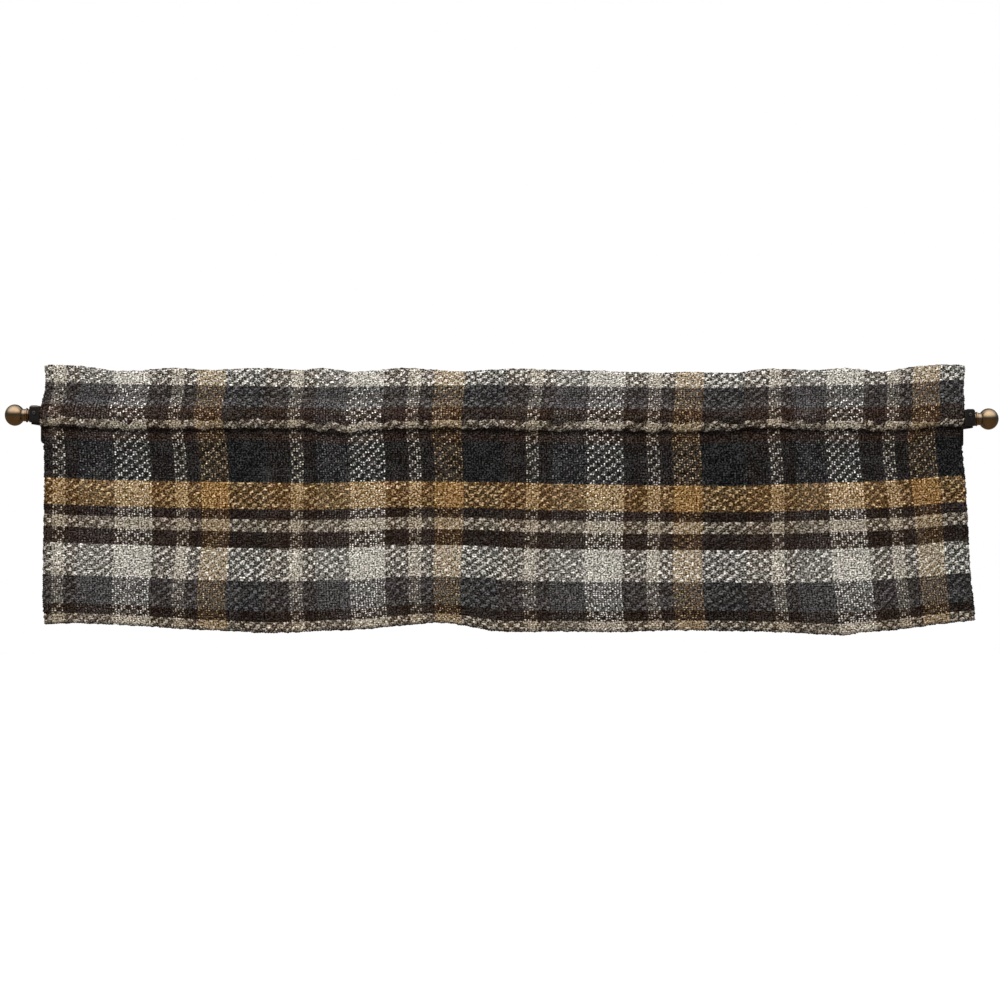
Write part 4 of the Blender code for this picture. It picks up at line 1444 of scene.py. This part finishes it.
def screw_outline(length):
    """From the head's crown down to the end of the shank."""
    rim = SCREW_HEAD_RADIUS - SCREW_EDGE
    crown = [(0.0, SCREW_HEAD_HEIGHT), (rim * 0.5, SCREW_HEAD_HEIGHT - 0.00006)]
    edge_round = profile_arc(rim, SCREW_HEAD_HEIGHT - 0.0009, SCREW_EDGE, 80, 0, 8)
    foot = [(SCREW_HEAD_RADIUS, 0.0002), (SCREW_HEAD_RADIUS - 0.0002, 0.0), (SCREW_SHANK_RADIUS, 0.0)]
    shank = [(SCREW_SHANK_RADIUS, SHANK_CHAMFER - length), (SCREW_SHANK_RADIUS - SHANK_CHAMFER, -length),
             (0.0, -length)]
    return crown + edge_round + foot + shank


for side, name, end in ((-1, "set_screw_left", ROD_LEFT), (1, "set_screw_right", ROD_RIGHT)):
    low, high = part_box(name)
    x, z = (low.x + high.x) / 2 - side * CUP_SHIFT[side], (low.z + high.z) / 2 + SCREW_SHIFT[side]
    seat = Matrix.Translation((x, low.y + SCREW_HEAD_HEIGHT, z)) @ Matrix.Rotation(math.pi / 2, 4, "X")
    outline = screw_outline(high.y - low.y - SCREW_HEAD_HEIGHT)
    body = turned_mesh(name, outline, [0.0] * len(outline), seat, 32)
    screw = bpy.data.objects.new(name + "_raw", body)
    bpy.context.collection.objects.link(screw)
    socket = raw_drill("socket", (x, low.y, z), [(-PAST, SOCKET_RADIUS), (SOCKET_DEPTH, SOCKET_RADIUS)], 6)
    mesh = combine(screw, [("DIFFERENCE", socket)], 0.00008, 2)
    add_piece("socket_" + name, mesh, black_steel, "black_screw", name)

# %% [markdown]
# ## Studio
#
# A white room with a pale floor well below the valance, and one large soft light overhead in front. The
# room is lit from above, so that folds and metal have a light and a dark side, while the camera sees it as
# plain white.

# %% The floor
FLOOR_HEIGHT, FLOOR_SIZE = -1.5, 30.0
FLOOR_COLOUR = (0.85, 0.85, 0.85, 1.0)
FLOOR_GLOW = (0.22, 0.22, 0.22, 1.0)      # as it lights the valance from below
FLOOR_IN_METAL = (0.115, 0.08, 0.04, 1.0)  # as polished metal mirrors it
WHITE = (1.0, 1.0, 1.0, 1.0)
floor_material, tree, shader = new_material("pale_floor", roughness=0.9, Emission_Color=WHITE)
seen = place(tree, "ShaderNodeLightPath", "Is Camera Ray")
mirrored = place(tree, "ShaderNodeLightPath", "Is Glossy Ray")
floor_light = mix(mirrored, FLOOR_GLOW, FLOOR_IN_METAL)
feed(shader.inputs["Base Color"], mix(seen, floor_light, FLOOR_COLOUR))
feed(shader.inputs["Emission Strength"], seen * 0.6)
bpy.ops.mesh.primitive_plane_add(size=FLOOR_SIZE, location=(0.0, 0.0, FLOOR_HEIGHT))
floor = bpy.context.object
floor.name = "floor"
floor.data.materials.append(floor_material)

# %% The room
ROOM_LIGHT = 0.50             # level with the eye
ROOM_LIGHT_ABOVE = 0.45       # more straight above
ROOM_IN_METAL = 0.07          # what polished metal mirrors: a dim room
PANEL_IN_METAL = 1.25         # and a wide panel of light, in front and above

world = bpy.data.worlds.new("white_room")
bpy.context.scene.world = world
world.use_nodes = True
tree = world.node_tree
background = tree.nodes["Background"]
background.inputs["Color"].default_value = WHITE
seen = place(tree, "ShaderNodeLightPath", "Is Camera Ray")
direction = place(tree, "ShaderNodeTexCoord", "Generated")
upward = place(tree, "ShaderNodeSeparateXYZ", "Z", Vector=direction)
glow = upward.math("MULTIPLY_ADD", ROOM_LIGHT_ABOVE, ROOM_LIGHT)
towards_back = place(tree, "ShaderNodeSeparateXYZ", "Y", Vector=direction)
panel_of_light = (((upward - 0.22) * 2.4).clamped() * (0.75 - towards_back * 0.95).math("MINIMUM", 1.0)
                  * (upward * 1.1 + 0.35))
mirrored = place(tree, "ShaderNodeLightPath", "Is Glossy Ray")
in_metal = panel_of_light * PANEL_IN_METAL + ROOM_IN_METAL
lighting = glow + mirrored * (in_metal - glow)
feed(background.inputs["Strength"], lighting + seen * (1.0 - lighting))

# %% The light overhead
LIGHT_SIZE = (2.4, 1.2)
LIGHT_POWER = 66.0
LIGHT_PLACE = Vector((-0.25, -1.3, 2.0))
LIGHT_AIM = Vector((0.0, 0.0, -0.1))

light_data = bpy.data.lights.new("overhead", "AREA")
light_data.shape = "RECTANGLE"
light_data.size, light_data.size_y = LIGHT_SIZE
light_data.energy = LIGHT_POWER
light = bpy.data.objects.new("overhead", light_data)
light.visible_glossy = False
light.location = LIGHT_PLACE
light.rotation_euler = (LIGHT_AIM - LIGHT_PLACE).to_track_quat("-Z", "Y").to_euler()
bpy.context.collection.objects.link(light)
bpy.context.scene.view_settings.view_transform = "Standard"
